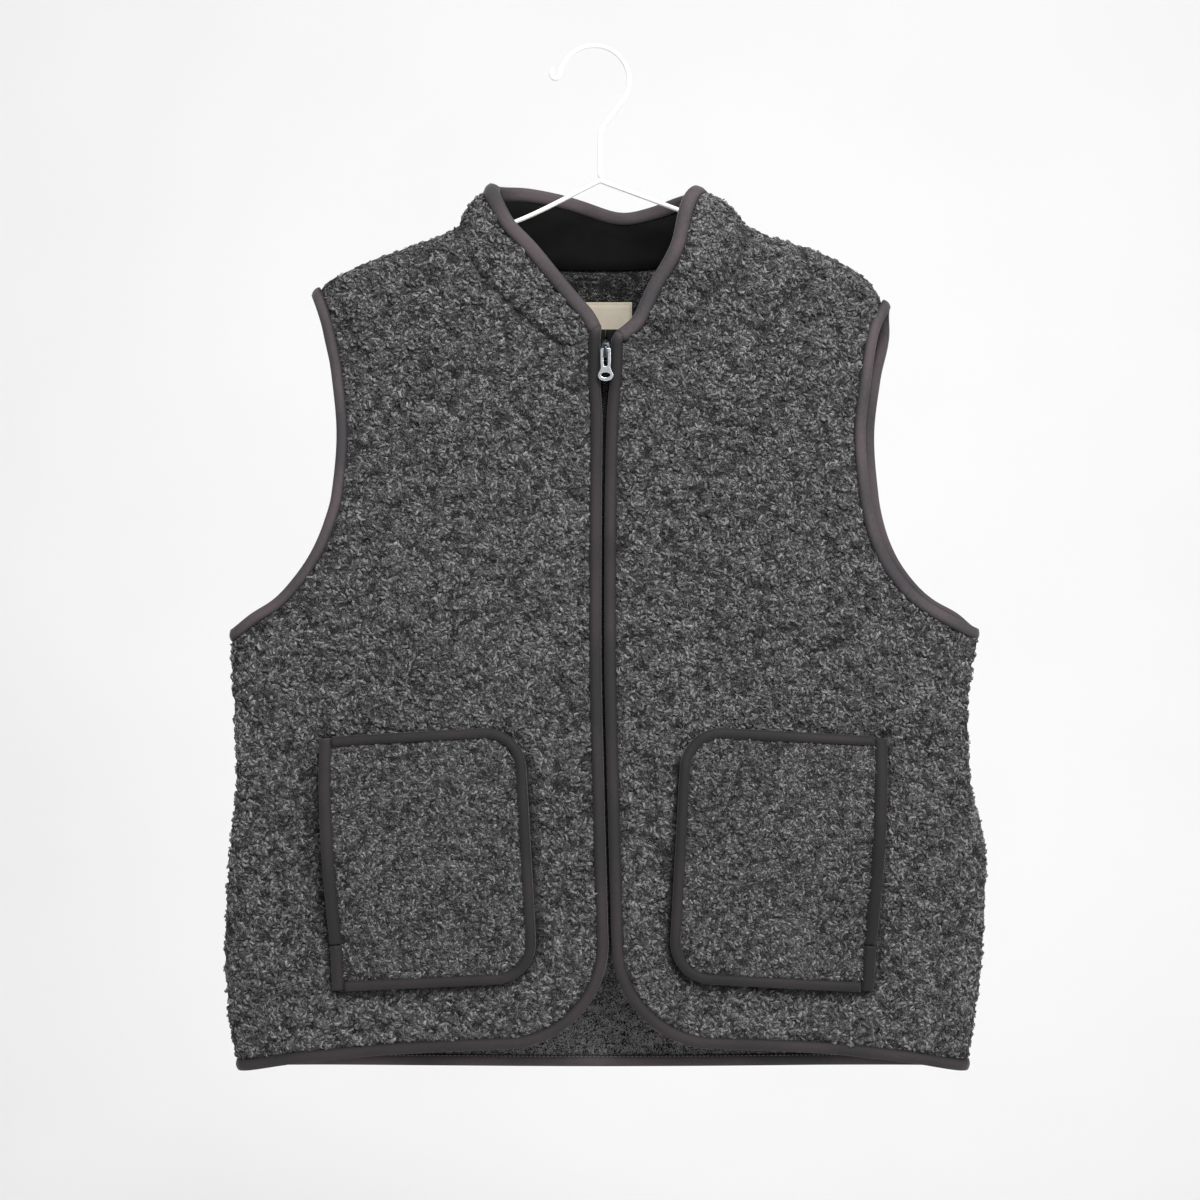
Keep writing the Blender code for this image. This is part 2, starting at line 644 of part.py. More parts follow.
def half_panel(side, face, hem, inner_x, low, high, neck_seam):
    """Points of a front, or of half the back, in two grids.

    The first lies between the hem and the armhole's foot, the second between there and the shoulder. inner_x
    gives the inner edge's x at heights from low to high, where the neck seam starts.
    """
    foot, upper = armhole(side, face)

    def inner(heights):
        return on_cloth(np.broadcast_to(inner_x(heights), heights.shape), heights)

    start = inner(np.array([FOOT_LEVEL]))[0]
    level = start + (foot[-1] - start) * np.linspace(0, 1, HEM_STEPS + 1)[:, None]
    rows = np.linspace(0, 1, SIDE_ROWS + 1)
    below = patch(
        hem, np.concatenate((level, foot[-2::-1])), inner(low + (FOOT_LEVEL - low) * rows),
        ridge(side, HEM_SIDE + (ARMPIT[side] - HEM_SIDE) * rows), rows,
    )
    neck_side = np.concatenate((inner(np.linspace(FOOT_LEVEL, high, EDGE_ROWS + 1))[:-1], neck_seam))
    shoulder = ridge(side, np.linspace(NECK_SHOULDER, SHOULDER_TIP[side], HEM_STEPS + 1))
    rise = lengths_along(cloth_points(upper[:, 0], upper[:, 1], face))
    above = patch(level, shoulder, neck_side, upper, rise / rise[-1])
    return [cloth_points(np.clip(grid[..., 0], -1, 1), grid[..., 1], face, SEAM) for grid in (below, above)]


def build_fronts(shop):
    """Both front panels, each with the point numbers of its two grids."""
    fronts = {}
    for side in (MINUS_X, PLUS_X):
        def zip_edge(heights):
            return front_edge_x(side, heights)

        half = half_panel(side, FRONT, front_hem(side), zip_edge, ZIP_FOOT, ZIP_TOP, front_neck_seam(side))
        grids = [grid[:, ::side] for grid in half]
        piece, corners = shop.add_cloth(f"front_panel_{SIDE_NAMES[side]}", grids, WOOL, shop.wool)
        fronts[side] = piece, [corner[:, ::side] for corner in corners]
    return fronts


def build_back(shop):
    """The back panel, of two halves that meet at its middle line, and the point numbers of their grids."""
    grids = []
    for side in (MINUS_X, PLUS_X):
        half = half_panel(
            side, BACK, back_hem(side), np.zeros_like, HEM_BACK_MIDDLE, BACK_NECK_MIDDLE, back_neck_seam(side)
        )
        grids += [grid[:, ::-side] for grid in half]
    piece, corners = shop.add_cloth("back_panel", grids, WOOL, shop.wool)
    return piece, {MINUS_X: corners[:2], PLUS_X: [corner[:, ::-1] for corner in corners[2:]]}


def collar_frame():
    """The collar's seam and free edge, column by column round the neck, and the face of each column."""
    def round_neck(front, back):
        return [front(PLUS_X)[:-1], back(PLUS_X)[::-1], back(MINUS_X)[1:], front(MINUS_X)[::-1][1:]]

    seams = round_neck(front_neck_seam, back_neck_seam)
    frees = round_neck(collar_front_edge, collar_back_edge)
    faces = [np.full(len(run), face) for run, face in zip(seams, (FRONT, BACK, BACK, FRONT))]
    seam = np.concatenate(seams)
    seam[:, 1] += SEAM
    return seam, np.concatenate(frees), np.concatenate(faces)


def build_collar(shop):
    """The stand collar, with its facing inside."""
    seam, free, face = collar_frame()
    rise = np.asarray(COLLAR_ROWS)[:, None, None]
    places = seam[None] * (1 - rise) + free[None] * rise
    grid = cloth_points(places[..., 0], places[..., 1], face[None, :])
    collar, corners = shop.add_cloth("collar", [grid], WOOL, shop.wool)

    out = np.array(Layer(collar.data).normals)[corners[0]]
    inset = grid - out * (WOOL / 2 + GAP + FACING / 2)
    height = np.linalg.norm(grid[-1] - grid[0], axis=-1)
    tall = np.flatnonzero(height > 2.6 * FACING_CLEAR)
    lining = []
    for k in range(tall[0], tall[-1] + 1):
        top = min(1 - FACING_CLEAR / height[k], COLLAR_ROWS[-2])
        rises = (1.0 / height[k], *COLLAR_ROWS[1:3], top)
        lining.append([[np.interp(rise, COLLAR_ROWS, inset[:, k, axis]) for axis in range(3)] for rise in rises])
    shop.add_cloth("collar_facing", [np.array(lining).swapaxes(0, 1)], FACING, shop.black)
    return collar, corners[0]


def build_label(shop):
    """The bare cream label inside the back neck."""
    x = np.linspace(-LABEL_WIDTH / 2, LABEL_WIDTH / 2, 7)[None, :]
    height = np.linspace(LABEL_TOP - LABEL_HEIGHT, LABEL_TOP, 5)[:, None]
    x, height = np.broadcast_arrays(x, height)
    points = cloth_points(x / half_width(x, height), height, BACK)
    inset = np.full(points.shape[:2], -(WOOL / 2 + GAP + LABEL / 2))
    shop.add_cloth("neck_label", [moved_out(points, inset)], LABEL, shop.cream)


def armhole_lines(below, above):
    """Lines into a panel along its armhole, from the ridge in and up to the shoulder tip, for its two grids."""
    return [*below[::-1, :HEM_STEPS - 1:-1].T, *above[1:, ::-1]]


def build_bindings(shop, fronts, back, collar):
    """The folded tapes on the front edges, the hem, the armholes and the collar."""
    back_piece, back_grids = back
    for side, (piece, (below, above)) in fronts.items():
        name = SIDE_NAMES[side]
        edge = [*above[EDGE_ROWS:0:-1], *below[:0:-1], below[0, :1], *below[:, 1:].T]
        shop.add_binding(f"binding_front_{name}", [(piece, edge)], WOOL, BINDING_REACH, ends=(1.0, 1.0))
        loop = [(piece, armhole_lines(below, above)), (back_piece, armhole_lines(*back_grids[side])[::-1])]
        shop.add_binding(f"binding_armhole_{name}", loop, WOOL, BINDING_REACH)
    hem = [*back_grids[MINUS_X][0].T[::-1], *back_grids[PLUS_X][0].T[1:]]
    shop.add_binding("binding_hem_back", [(back_piece, hem)], WOOL, BINDING_REACH, ends=(1.0, 1.0))
    piece, corner = collar
    shop.add_binding("binding_collar", [(piece, list(corner[::-1].T))], WOOL, BINDING_REACH, ends=(0.0, 0.0))


def pocket_places(side, columns, rows):
    """Plan positions of a pocket: columns run from the mouth to the inner side, rows go up."""
    radius, width, height = POCKET_RADIUS, POCKET_WIDTH, POCKET_HEIGHT
    turn = np.radians(np.linspace(0, 90, 40))
    bottom = np.stack((width - radius + radius * np.sin(turn), radius - radius * np.cos(turn)), axis=-1)
    bottom = np.concatenate(([(0.0, 0.0)], bottom))
    top = np.stack((bottom[:, 0], height - bottom[:, 1]), axis=-1)

    def spaced(route, shares):
        length = lengths_along(route)
        at = np.asarray(shares) * length[-1]
        return np.stack((np.interp(at, length, route[:, 0]), np.interp(at, length, route[:, 1])), axis=-1)

    mouth = np.stack((np.zeros(len(rows)), rows * height), axis=-1)
    inner = np.stack((np.full(len(rows), width), radius + rows * (height - 2 * radius)), axis=-1)
    flat = patch(spaced(bottom, columns), spaced(top, columns), mouth, inner, rows)
    lean = math.radians(POCKET_LEAN)
    out = POCKET_FOOT_OUT - flat[..., 0] * math.cos(lean) + flat[..., 1] * math.sin(lean)
    up = POCKET_FOOT_HEIGHT + flat[..., 0] * math.sin(lean) + flat[..., 1] * math.cos(lean)
    return side * out, up, flat


def build_pockets(shop, fronts):
    """Patch pockets laid on the fronts, gaping a little at the mouth, with their bindings."""
    columns = np.concatenate((np.linspace(0, 0.7, 8), np.linspace(0.76, 1, 6)))
    tab_share = POCKET_TAB / POCKET_HEIGHT
    rows = np.concatenate((np.linspace(0, tab_share, TAB_ROWS + 1), np.linspace(tab_share, 1, 9)[1:]))
    base = WOOL / 2 + 2 * GAP + TAPE + FOLD_GAP + POCKET_WOOL / 2
    for side in (MINUS_X, PLUS_X):
        name = SIDE_NAMES[side]
        x, height, flat = pocket_places(side, columns, rows)
        rise = np.clip(flat[..., 1] / POCKET_HEIGHT, 0, 1)
        gape = np.sin(math.pi * np.clip((rise - tab_share) / (1 - tab_share), 0, 1))
        stand = base + POCKET_MOUTH_STAND * gape * (1 - np.clip(flat[..., 0] / POCKET_WIDTH, 0, 1)) ** 1.3
        points = cloth_points(x / half_width(x, height), height, FRONT)
        layer = Layer(fronts[side][0].data)
        for place in np.ndindex(points.shape[:2]):
            foot, out = layer.nearest(Vector(points[place]) * MM)
            points[place] = foot / MM + out * stand[place]
        piece, (corner,) = shop.add_cloth(f"pocket_{name}", [points], POCKET_WOOL, shop.wool)
        mouth = corner[TAB_ROWS:]
        tab = corner[:TAB_ROWS + 1]
        round_edge = [[number] for number in (*corner[0, :], *corner[1:-1, -1], *corner[-1, ::-1])]
        shop.add_binding(f"pocket_mouth_{name}", [(piece, mouth)], POCKET_WOOL, MOUTH_REACH, ends=(0.6, 0.0))
        shop.add_binding(f"pocket_tab_{name}", [(piece, tab)], POCKET_WOOL, MOUTH_REACH, ends=(0.0, 0.6))
        clear = MOUTH_REACH + 0.5
        shop.add_binding(
            f"pocket_binding_{name}", [(piece, round_edge)], POCKET_WOOL, POCKET_REACH, ends=(clear, clear)
        )


def zip_layer(heights, offsets, inset):
    """A strip of points beside the zip's line, moved in behind the bindings."""
    height = np.broadcast_to(heights[:, None], offsets.shape)
    x = column(ZIP_LINE, "height", "x", height) + offsets
    points = cloth_points(x / half_width(x, height), height, FRONT)
    return moved_out(points, np.full(offsets.shape, -inset))


def build_zip(shop):
    """Zip tapes and chain behind the front bindings, with the slider and its pull tab."""
    behind = WOOL / 2 + FOLD_GAP + TAPE + GAP
    heights = np.linspace(ZIP_FOOT - 8, ZIP_TOP - 1.5, 24)
    chain_edge = ZIP_CHAIN_WIDTH / 2 + GAP
    slider_edge = SLIDER_WIDTH / 2 + 2 * GAP
    inner = np.interp(heights, (SLIDER_FOOT - 14, SLIDER_FOOT - 2), (chain_edge, slider_edge))
    for side in (MINUS_X, PLUS_X):
        offsets = side * np.stack((inner, np.full(len(heights), ZIP_TAPE_WIDTH)), axis=-1)
        strip = zip_layer(heights, offsets, behind + ZIP_TAPE / 2)
        shop.add_cloth(f"zip_tape_{SIDE_NAMES[side]}", [strip], ZIP_TAPE, shop.zip_black)

    heights = np.linspace(ZIP_FOOT - 8, SLIDER_FOOT - GAP, 24)
    half = np.full(len(heights), ZIP_CHAIN_WIDTH / 2)
    strip = zip_layer(heights, np.stack((-half, half), axis=-1), behind + ZIP_CHAIN / 2)
    shop.add_cloth("zip_chain", [strip], ZIP_CHAIN, shop.zip_black)

    pivot = cloth_points(0.0, PULL_HEIGHT, FRONT)
    pivot[0] = column(ZIP_LINE, "height", "x", PULL_HEIGHT)
    pivot[1] -= PULL_STAND
    build_slider(shop, pivot)
    build_pull(shop, pivot)


def add_block(shop, name, low, high, collection):
    """A box between two corners in the vest's frame, in millimetres."""
    body = bmesh.new()
    bmesh.ops.create_cube(body, size=1)
    low, high = Vector(low), Vector(high)
    for vert in body.verts:
        vert.co = [(low[k] + (vert.co[k] + 0.5) * (high[k] - low[k])) * MM for k in range(3)]
    mesh = bpy.data.meshes.new(name)
    body.to_mesh(mesh)
    body.free()
    block = bpy.data.objects.new(name, mesh)
    block.parent = shop.vest
    collection.objects.link(block)
    return block


def build_slider(shop, pivot):
    """The slider's body with the bail that the pull tab hangs in."""
    x, y, _ = pivot
    half = SLIDER_WIDTH / 2
    bail_face = y - PULL_THICKNESS - BAIL_BAR
    body_front = y + 4.2
    body = add_block(
        shop, "zip_slider", (x - half, body_front, SLIDER_FOOT), (x + half, body_front + SLIDER_DEPTH, SLIDER_TOP),
        shop.parts,
    )
    body.data.materials.append(shop.gunmetal)
    bail_low, bail_high = SLIDER_FOOT + 0.6, SLIDER_TOP - 1.6
    bail = add_block(
        shop, "bail", (x - BAIL_WIDTH / 2, bail_face, bail_low), (x + BAIL_WIDTH / 2, body_front + 1, bail_high),
        shop.cutters,
    )
    window = add_block(
        shop, "bail_window", (x - BAIL_WIDTH, bail_face + BAIL_BAR, bail_low + BAIL_BAR),
        (x + BAIL_WIDTH, body_front, bail_high - BAIL_BAR), shop.cutters,
    )
    for guide in (bail, window):
        guide.hide_render = True
        guide.display_type = "WIRE"
    rounded = body.modifiers.new("rounded", "BEVEL")
    rounded.width = 0.9 * MM
    rounded.segments = 2
    for operation, cutter in (("UNION", bail), ("DIFFERENCE", window)):
        cut = body.modifiers.new(operation.lower(), "BOOLEAN")
        cut.operation = operation
        cut.object = cutter


def build_pull(shop, pivot):
    """The pull tab: a flat silver outline with the bail's slot and a finger hole, hung on its crossbar."""
    curve = bpy.data.curves.new("zip_pull", "CURVE")
    curve.dimensions = "2D"
    curve.fill_mode = "BOTH"
    curve.extrude = PULL_THICKNESS / 2 * MM
    right = [(row.half_width, -row.drop) for row in PULL_OUTLINE]
    slot = PULL_SLOT_HALF
    turn = np.linspace(math.pi, 2 * math.pi, 7)
    slot_foot = [(slot * math.cos(a), -PULL_SLOT_FOOT + slot + slot * math.sin(a)) for a in turn]
    turn = np.linspace(0, 2 * math.pi, 17)[:-1]
    hole = [(PULL_HOLE_HALF[0] * math.cos(a), -PULL_HOLE_DROP + PULL_HOLE_HALF[1] * math.sin(a)) for a in turn]
    outlines = [
        right + [(-x, z) for x, z in reversed(right)],
        [(slot, -PULL_SLOT_TOP), (-slot, -PULL_SLOT_TOP), *slot_foot],
        hole,
    ]
    for outline in outlines:
        spline = curve.splines.new("POLY")
        spline.points.add(len(outline) - 1)
        spline.use_cyclic_u = True
        for knot, (x, z) in zip(spline.points, outline):
            knot.co = (x * MM, z * MM, 0, 1)
    piece = shop.add("zip_pull", curve, shop.silver, shop.vest)
    piece.location = Vector(pivot) * MM
    piece.rotation_euler = (math.pi / 2, 0, 0)


def shoulder_rest(side, out):
    """Where an arm's middle line lies under the shoulder ridge, at a distance out from x = 0."""
    heights = np.linspace(NECK_SHOULDER, SHOULDER_TIP[side], 400)
    widths = half_width(side, heights)
    height = np.interp(out, widths, heights)
    fall = (np.interp(out + 2, widths, heights) - np.interp(out - 2, widths, heights)) / 4
    down = (WOOL / 2 + GAP + WIRE / 2) * math.hypot(1, fall)
    return side * out, height - down


def build_hanger(shop):
    """The hook, hung on the origin, and the bent wire of the two arms under the shoulders."""
    arms = [ARM_PEAK]
    for side in (MINUS_X, PLUS_X):
        run = [ARM_PEAK, ARM_MIDDLE[side], *[shoulder_rest(side, out) for out in ARM_RESTS]]
        route = smooth_route(run, np.linspace(0, 1, 17))[1:]
        arms = [*route[::-1], *arms] if side == MINUS_X else [*arms, *route]
    shop.add_wire("hanger_arms", arms, shop.vest)

    centre_z = WIRE / 2 - HOOK_RADIUS
    arc = np.radians(np.linspace(-35, 170, 26))
    ring = [(HOOK_X + HOOK_RADIUS * math.cos(a), centre_z + HOOK_RADIUS * math.sin(a)) for a in arc]
    end_x, end_z = ring[-1]
    back = np.radians(np.linspace(-20, -190, 9))
    bend = [
        (end_x - HOOK_RETURN_RADIUS * (1 - math.cos(a)), end_z + HOOK_RETURN_RADIUS * math.sin(a)) for a in back
    ]
    tip = (bend[-1][0] + 1.0, bend[-1][1] + 4.5)
    neck = [(HOOK_NECK_X, HOOK_NECK_FOOT), (HOOK_NECK_X, HOOK_NECK_BEND - 5), (HOOK_NECK_X + 0.4, HOOK_NECK_BEND)]
    neck.append((HOOK_NECK_X + 2.0, HOOK_NECK_BEND + 4.5))
    shop.add_wire("hanger_hook", [*neck, *ring, *bend, tip])


def main():
    """Builds the vest and its hanger."""
    shop = Workshop()
    fronts = build_fronts(shop)
    back = build_back(shop)
    collar = build_collar(shop)
    build_label(shop)
    build_bindings(shop, fronts, back, collar)
    build_pockets(shop, fronts)
    build_zip(shop)
    build_hanger(shop)


main()
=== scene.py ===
"""Looks of the wool vest on its wire hanger: curly wool, folded bindings, zip, label, wire, stage and light.

The form repeats the part's own sections and edges in finer steps. Sizes are millimetres in the vest's frame,
with x = 0 near the zip and z = 0 at the hem's side ends. They become metres in the shared frame where a mesh
is made. A place on the cloth is given by across, from -1 at the -X ridge to 1 at the +X ridge, by its height
and by its face.
"""

import json
import logging
import math
from dataclasses import dataclass
from enum import IntEnum
from typing import Callable, NamedTuple, Sequence

import bmesh
import bpy
import numpy as np
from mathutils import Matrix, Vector, kdtree, noise

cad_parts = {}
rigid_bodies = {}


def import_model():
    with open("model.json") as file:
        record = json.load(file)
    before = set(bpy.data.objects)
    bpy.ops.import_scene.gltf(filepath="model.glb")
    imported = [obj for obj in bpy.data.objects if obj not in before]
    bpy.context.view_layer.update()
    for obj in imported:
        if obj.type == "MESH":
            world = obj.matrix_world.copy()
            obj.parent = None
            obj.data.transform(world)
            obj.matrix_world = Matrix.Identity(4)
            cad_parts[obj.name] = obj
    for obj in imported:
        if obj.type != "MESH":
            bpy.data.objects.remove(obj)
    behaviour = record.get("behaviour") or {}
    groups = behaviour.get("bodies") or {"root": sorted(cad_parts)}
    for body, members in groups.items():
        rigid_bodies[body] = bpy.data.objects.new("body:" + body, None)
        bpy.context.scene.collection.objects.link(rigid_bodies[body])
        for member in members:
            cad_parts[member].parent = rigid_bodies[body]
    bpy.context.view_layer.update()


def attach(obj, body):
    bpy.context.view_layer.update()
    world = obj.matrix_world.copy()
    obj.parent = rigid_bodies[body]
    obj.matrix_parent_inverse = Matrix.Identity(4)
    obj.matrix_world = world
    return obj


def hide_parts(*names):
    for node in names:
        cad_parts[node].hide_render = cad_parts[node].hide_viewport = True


LOG = logging.getLogger("vest")
MM = 0.001
Array = np.ndarray
Mesh = bpy.types.Mesh
Object = bpy.types.Object
Material = bpy.types.Material
Tree = bpy.types.NodeTree
Node = bpy.types.Node
Socket = bpy.types.NodeSocket


class Face(IntEnum):
    """Front or back of the vest, as the sign of y."""

    FRONT = -1
    BACK = 1


class Side(IntEnum):
    """The wearer's sides, as the sign of x."""

    RIGHT = -1
    LEFT = 1

    @property
    def label(self) -> str:
        """The side as it is written in piece names."""
        return self.name.lower()


class Section(NamedTuple):
    """A level section of the cloth's middle layer."""

    height: float
    minus_x: float
    plus_x: float
    front: float
    back: float


class Fold(NamedTuple):
    """A soft trough or ridge: middle, reach along and across, lean from level, and how far it stands out."""

    face: Face
    x: float
    height: float
    along: float
    across: float
    lean: float
    out: float


class ZipRow(NamedTuple):
    """A place on the zip's line and half the opening between the bindings there."""

    height: float
    x: float
    half_gap: float


class EdgePoint(NamedTuple):
    """A place on an edge, seen from the front."""

    x: float
    height: float


class ArmholeRow(NamedTuple):
    """Distance out to both armholes' edges at a height."""

    height: float
    minus_x: float
    plus_x: float


# Cloth and trim
WOOL = 4.0
POCKET_WOOL = 2.6
FACING = 0.8
FACING_CLEAR = 9.0
LABEL = 0.6
TAPE = 0.9
BINDING_REACH = 6.8
COLLAR_REACH = 8.6
POCKET_REACH = 5.6
MOUTH_REACH = 7.4
GAP = 0.3
FOLD_GAP = 0.7
ROUNDNESS = 2.6
RIDGE_FADE = 0.12
SLOPE_STEP = 0.05
FINE_STEPS = 1500
FAR_OFF = 1e3
VEST_X = 7.7
VEST_Z = -714.0

SECTIONS = [
    Section(640.0, 66.0, 52.0, 26.0, 25.0),
    Section(626.0, 73.5, 58.0, 27.0, 26.0),
    Section(614.0, 78.0, 64.5, 27.0, 26.0),
    Section(600.6, 91.7, 86.0, 27.0, 26.0),
    Section(590.0, 98.6, 96.6, 26.0, 25.0),
    Section(579.6, 114.0, 115.0, 25.0, 24.0),
    Section(569.0, 145.0, 150.0, 24.0, 23.0),
    Section(558.6, 173.0, 173.0, 22.5, 21.5),
    Section(548.0, 194.0, 187.5, 21.0, 20.0),
    Section(537.0, 201.5, 194.0, 20.0, 19.0),
    Section(528.0, 205.0, 199.5, 19.5, 18.5),
    Section(490.0, 218.0, 215.0, 18.0, 17.0),
    Section(440.0, 231.0, 230.0, 17.0, 16.0),
    Section(380.0, 245.0, 246.0, 17.0, 16.0),
    Section(330.0, 255.0, 257.0, 18.0, 17.0),
    Section(307.0, 257.5, 259.5, 19.0, 18.0),
    Section(254.0, 255.5, 252.5, 20.5, 19.0),
    Section(202.0, 253.5, 254.5, 22.0, 20.0),
    Section(149.0, 258.5, 265.0, 23.0, 21.0),
    Section(76.0, 261.5, 262.0, 24.5, 22.5),
    Section(34.0, 258.5, 257.0, 24.5, 22.5),
    Section(2.0, 252.0, 252.0, 24.0, 22.0),
    Section(-20.0, 247.0, 247.0, 23.0, 21.0),
]

# The part's own folds, then finer creases: drag below the armholes, over the pockets, and across the back
FOLDS = [
    Fold(Face.FRONT, -222.0, 212.0, 55.0, 27.0, 8.0, -4.0),
    Fold(Face.FRONT, 226.0, 222.0, 55.0, 27.0, -10.0, -4.5),
    Fold(Face.FRONT, -125.0, 352.0, 80.0, 24.0, -28.0, 2.2),
    Fold(Face.FRONT, 118.0, 345.0, 80.0, 24.0, 26.0, 2.2),
    Fold(Face.FRONT, 150.0, 26.0, 60.0, 30.0, 0.0, -2.5),
    Fold(Face.FRONT, -165.0, 30.0, 60.0, 32.0, 0.0, 2.5),
    Fold(Face.BACK, 0.0, 500.0, 130.0, 24.0, 0.0, -2.5),
    Fold(Face.BACK, -130.0, 210.0, 120.0, 30.0, 70.0, 3.0),
    Fold(Face.BACK, 120.0, 180.0, 130.0, 32.0, 100.0, 3.0),
    Fold(Face.FRONT, -176.0, 286.0, 46.0, 9.0, 34.0, -1.1),
    Fold(Face.FRONT, -150.0, 268.0, 40.0, 8.0, 22.0, 0.9),
    Fold(Face.FRONT, 182.0, 292.0, 50.0, 9.0, -30.0, -1.2),
    Fold(Face.FRONT, 158.0, 266.0, 38.0, 8.0, -18.0, 0.9),
    Fold(Face.FRONT, -70.0, 470.0, 70.0, 12.0, -52.0, -0.9),
    Fold(Face.FRONT, 84.0, 462.0, 66.0, 13.0, 48.0, -1.0),
    Fold(Face.FRONT, -30.0, 214.0, 34.0, 10.0, 8.0, 0.8),
    Fold(Face.FRONT, 36.0, 196.0, 30.0, 9.0, -12.0, -0.8),
    Fold(Face.FRONT, -60.0, 529.0, 50.0, 7.5, -43.0, -4.6),
    Fold(Face.FRONT, 64.0, 530.0, 46.0, 7.5, 43.0, -4.0),
    Fold(Face.FRONT, -74.0, 547.0, 44.0, 10.0, -43.0, 3.0),
    Fold(Face.FRONT, 74.0, 550.0, 40.0, 10.0, 43.0, 2.6),
    Fold(Face.BACK, -168.0, 300.0, 52.0, 10.0, -32.0, -1.3),
    Fold(Face.BACK, 172.0, 288.0, 48.0, 9.0, 30.0, -1.2),
    Fold(Face.BACK, -60.0, 420.0, 90.0, 14.0, 18.0, -1.1),
    Fold(Face.BACK, 84.0, 380.0, 80.0, 12.0, -24.0, 1.0),
    Fold(Face.BACK, 20.0, 110.0, 70.0, 12.0, 82.0, -1.2),
]

ZIP_LINE = [
    ZipRow(507.0, 1.9, 3.9),
    ZipRow(486.0, 1.5, 3.8),
    ZipRow(452.0, 1.0, 1.6),
    ZipRow(382.0, 0.0, 1.2),
    ZipRow(300.0, -0.2, 1.2),
    ZipRow(190.0, 2.0, 1.2),
    ZipRow(92.0, 4.8, 1.2),
]
ZIP_TOP = ZIP_LINE[0].height
ZIP_FOOT = ZIP_LINE[-1].height

HEM_CORNER_RADIUS = 71.0
HEM_CORNER_TURN = 84.0
HEM_SIDE = 1.2
HEM_BACK_MIDDLE = -3.0
HEM_RUN = [EdgePoint(140.0, 17.7), EdgePoint(206.0, 10.5)]

ARMHOLE = [
    ArmholeRow(514.0, 192.5, 190.0),
    ArmholeRow(483.0, 186.5, 184.5),
    ArmholeRow(442.0, 183.0, 180.2),
    ArmholeRow(400.0, 186.5, 183.5),
    ArmholeRow(380.0, 192.0, 187.5),
    ArmholeRow(359.0, 201.5, 195.5),
    ArmholeRow(338.0, 216.5, 210.0),
    ArmholeRow(327.0, 227.5, 222.0),
    ArmholeRow(316.5, 244.0, 239.5),
]
ARMPIT = {Side.RIGHT: 305.5, Side.LEFT: 306.5}
SHOULDER_TIP = {Side.RIGHT: 539.5, Side.LEFT: 531.0}
BACK_ARMHOLE_EXTRA = {Side.RIGHT: 3.0, Side.LEFT: 10.0}
ARMHOLE_FOOT = 22.0
FOOT_LEVEL = 315.0

NECK_SHOULDER = 589.5
NECK_SEAM = [
    EdgePoint(12.5, 506.0),
    EdgePoint(27.0, 503.0),
    EdgePoint(44.5, 512.5),
    EdgePoint(70.0, 536.0),
    EdgePoint(91.0, 559.5),
]
BACK_NECK_MIDDLE = 560.4
COLLAR_EDGE = {
    Side.RIGHT: [
        EdgePoint(2.4, 515.5), EdgePoint(6.0, 523.5), EdgePoint(17.0, 535.8), EdgePoint(30.0, 551.2),
        EdgePoint(48.4, 573.2), EdgePoint(63.0, 588.3), EdgePoint(69.5, 601.0), EdgePoint(74.0, 610.5),
    ],
    Side.LEFT: [
        EdgePoint(10.0, 512.0), EdgePoint(15.0, 516.0), EdgePoint(20.5, 519.5), EdgePoint(25.6, 529.4),
        EdgePoint(31.2, 542.8), EdgePoint(40.0, 557.0), EdgePoint(48.6, 573.6), EdgePoint(52.4, 592.0),
        EdgePoint(55.0, 602.0), EdgePoint(58.6, 609.0),
    ],
}
COLLAR_RIDGE = {Side.RIGHT: 617.5, Side.LEFT: 613.5}
COLLAR_BACK = [
    EdgePoint(-58.0, 619.5),
    EdgePoint(-34.0, 616.4),
    EdgePoint(-12.0, 610.4),
    EdgePoint(14.0, 602.4),
    EdgePoint(38.0, 607.6),
    EdgePoint(55.0, 613.0),
]


# Curves through tables and places on the cloth

def through(xs: Sequence[float], ys: Sequence[float], at: Array) -> Array:
    """Reads a smooth curve through a table's points, which never overshoots them.

    Args:
        xs: the table's places, in any order.
        ys: its values.
        at: where the curve is read; beyond the table's ends it stays level.

    Returns:
        The curve's values.
    """
    order = np.argsort(xs)
    xs = np.asarray(xs, float)[order]
    ys = np.asarray(ys, float)[order]
    run = np.diff(xs)
    rise = np.diff(ys) / run
    slope = np.concatenate(([rise[0]], np.zeros(len(rise) - 1), [rise[-1]]))
    level = rise[:-1] * rise[1:] > 0
    slope[1:-1][level] = (2 * rise[:-1] * rise[1:] / np.where(level, rise[:-1] + rise[1:], 1))[level]
    at = np.clip(at, xs[0], xs[-1])
    cell = np.clip(np.searchsorted(xs, at) - 1, 0, len(run) - 1)
    t = (at - xs[cell]) / run[cell]
    start = (2 * t**3 - 3 * t**2 + 1) * ys[cell] + (t**3 - 2 * t**2 + t) * run[cell] * slope[cell]
    end = (3 * t**2 - 2 * t**3) * ys[cell + 1] + (t**3 - t**2) * run[cell] * slope[cell + 1]
    return start + end


def column(rows: Sequence[NamedTuple], key: str, value: str, at: Array) -> Array:
    """A named column of a table, read smoothly at a place along another column."""
    return through([getattr(row, key) for row in rows], [getattr(row, value) for row in rows], at)


def half_width(side: Array, height: Array) -> Array:
    """Distance from x = 0 to the ridge on the side given by a sign or by an x."""
    minus = column(SECTIONS, "height", "minus_x", height)
    plus = column(SECTIONS, "height", "plus_x", height)
    return np.where(np.asarray(side) < 0, minus, plus)


def half_depth(face: Array, height: Array) -> Array:
    """Distance from y = 0 to the middle layer on a face."""
    front = column(SECTIONS, "height", "front", height)
    back = column(SECTIONS, "height", "back", height)
    return np.where(np.asarray(face) < 0, front, back)


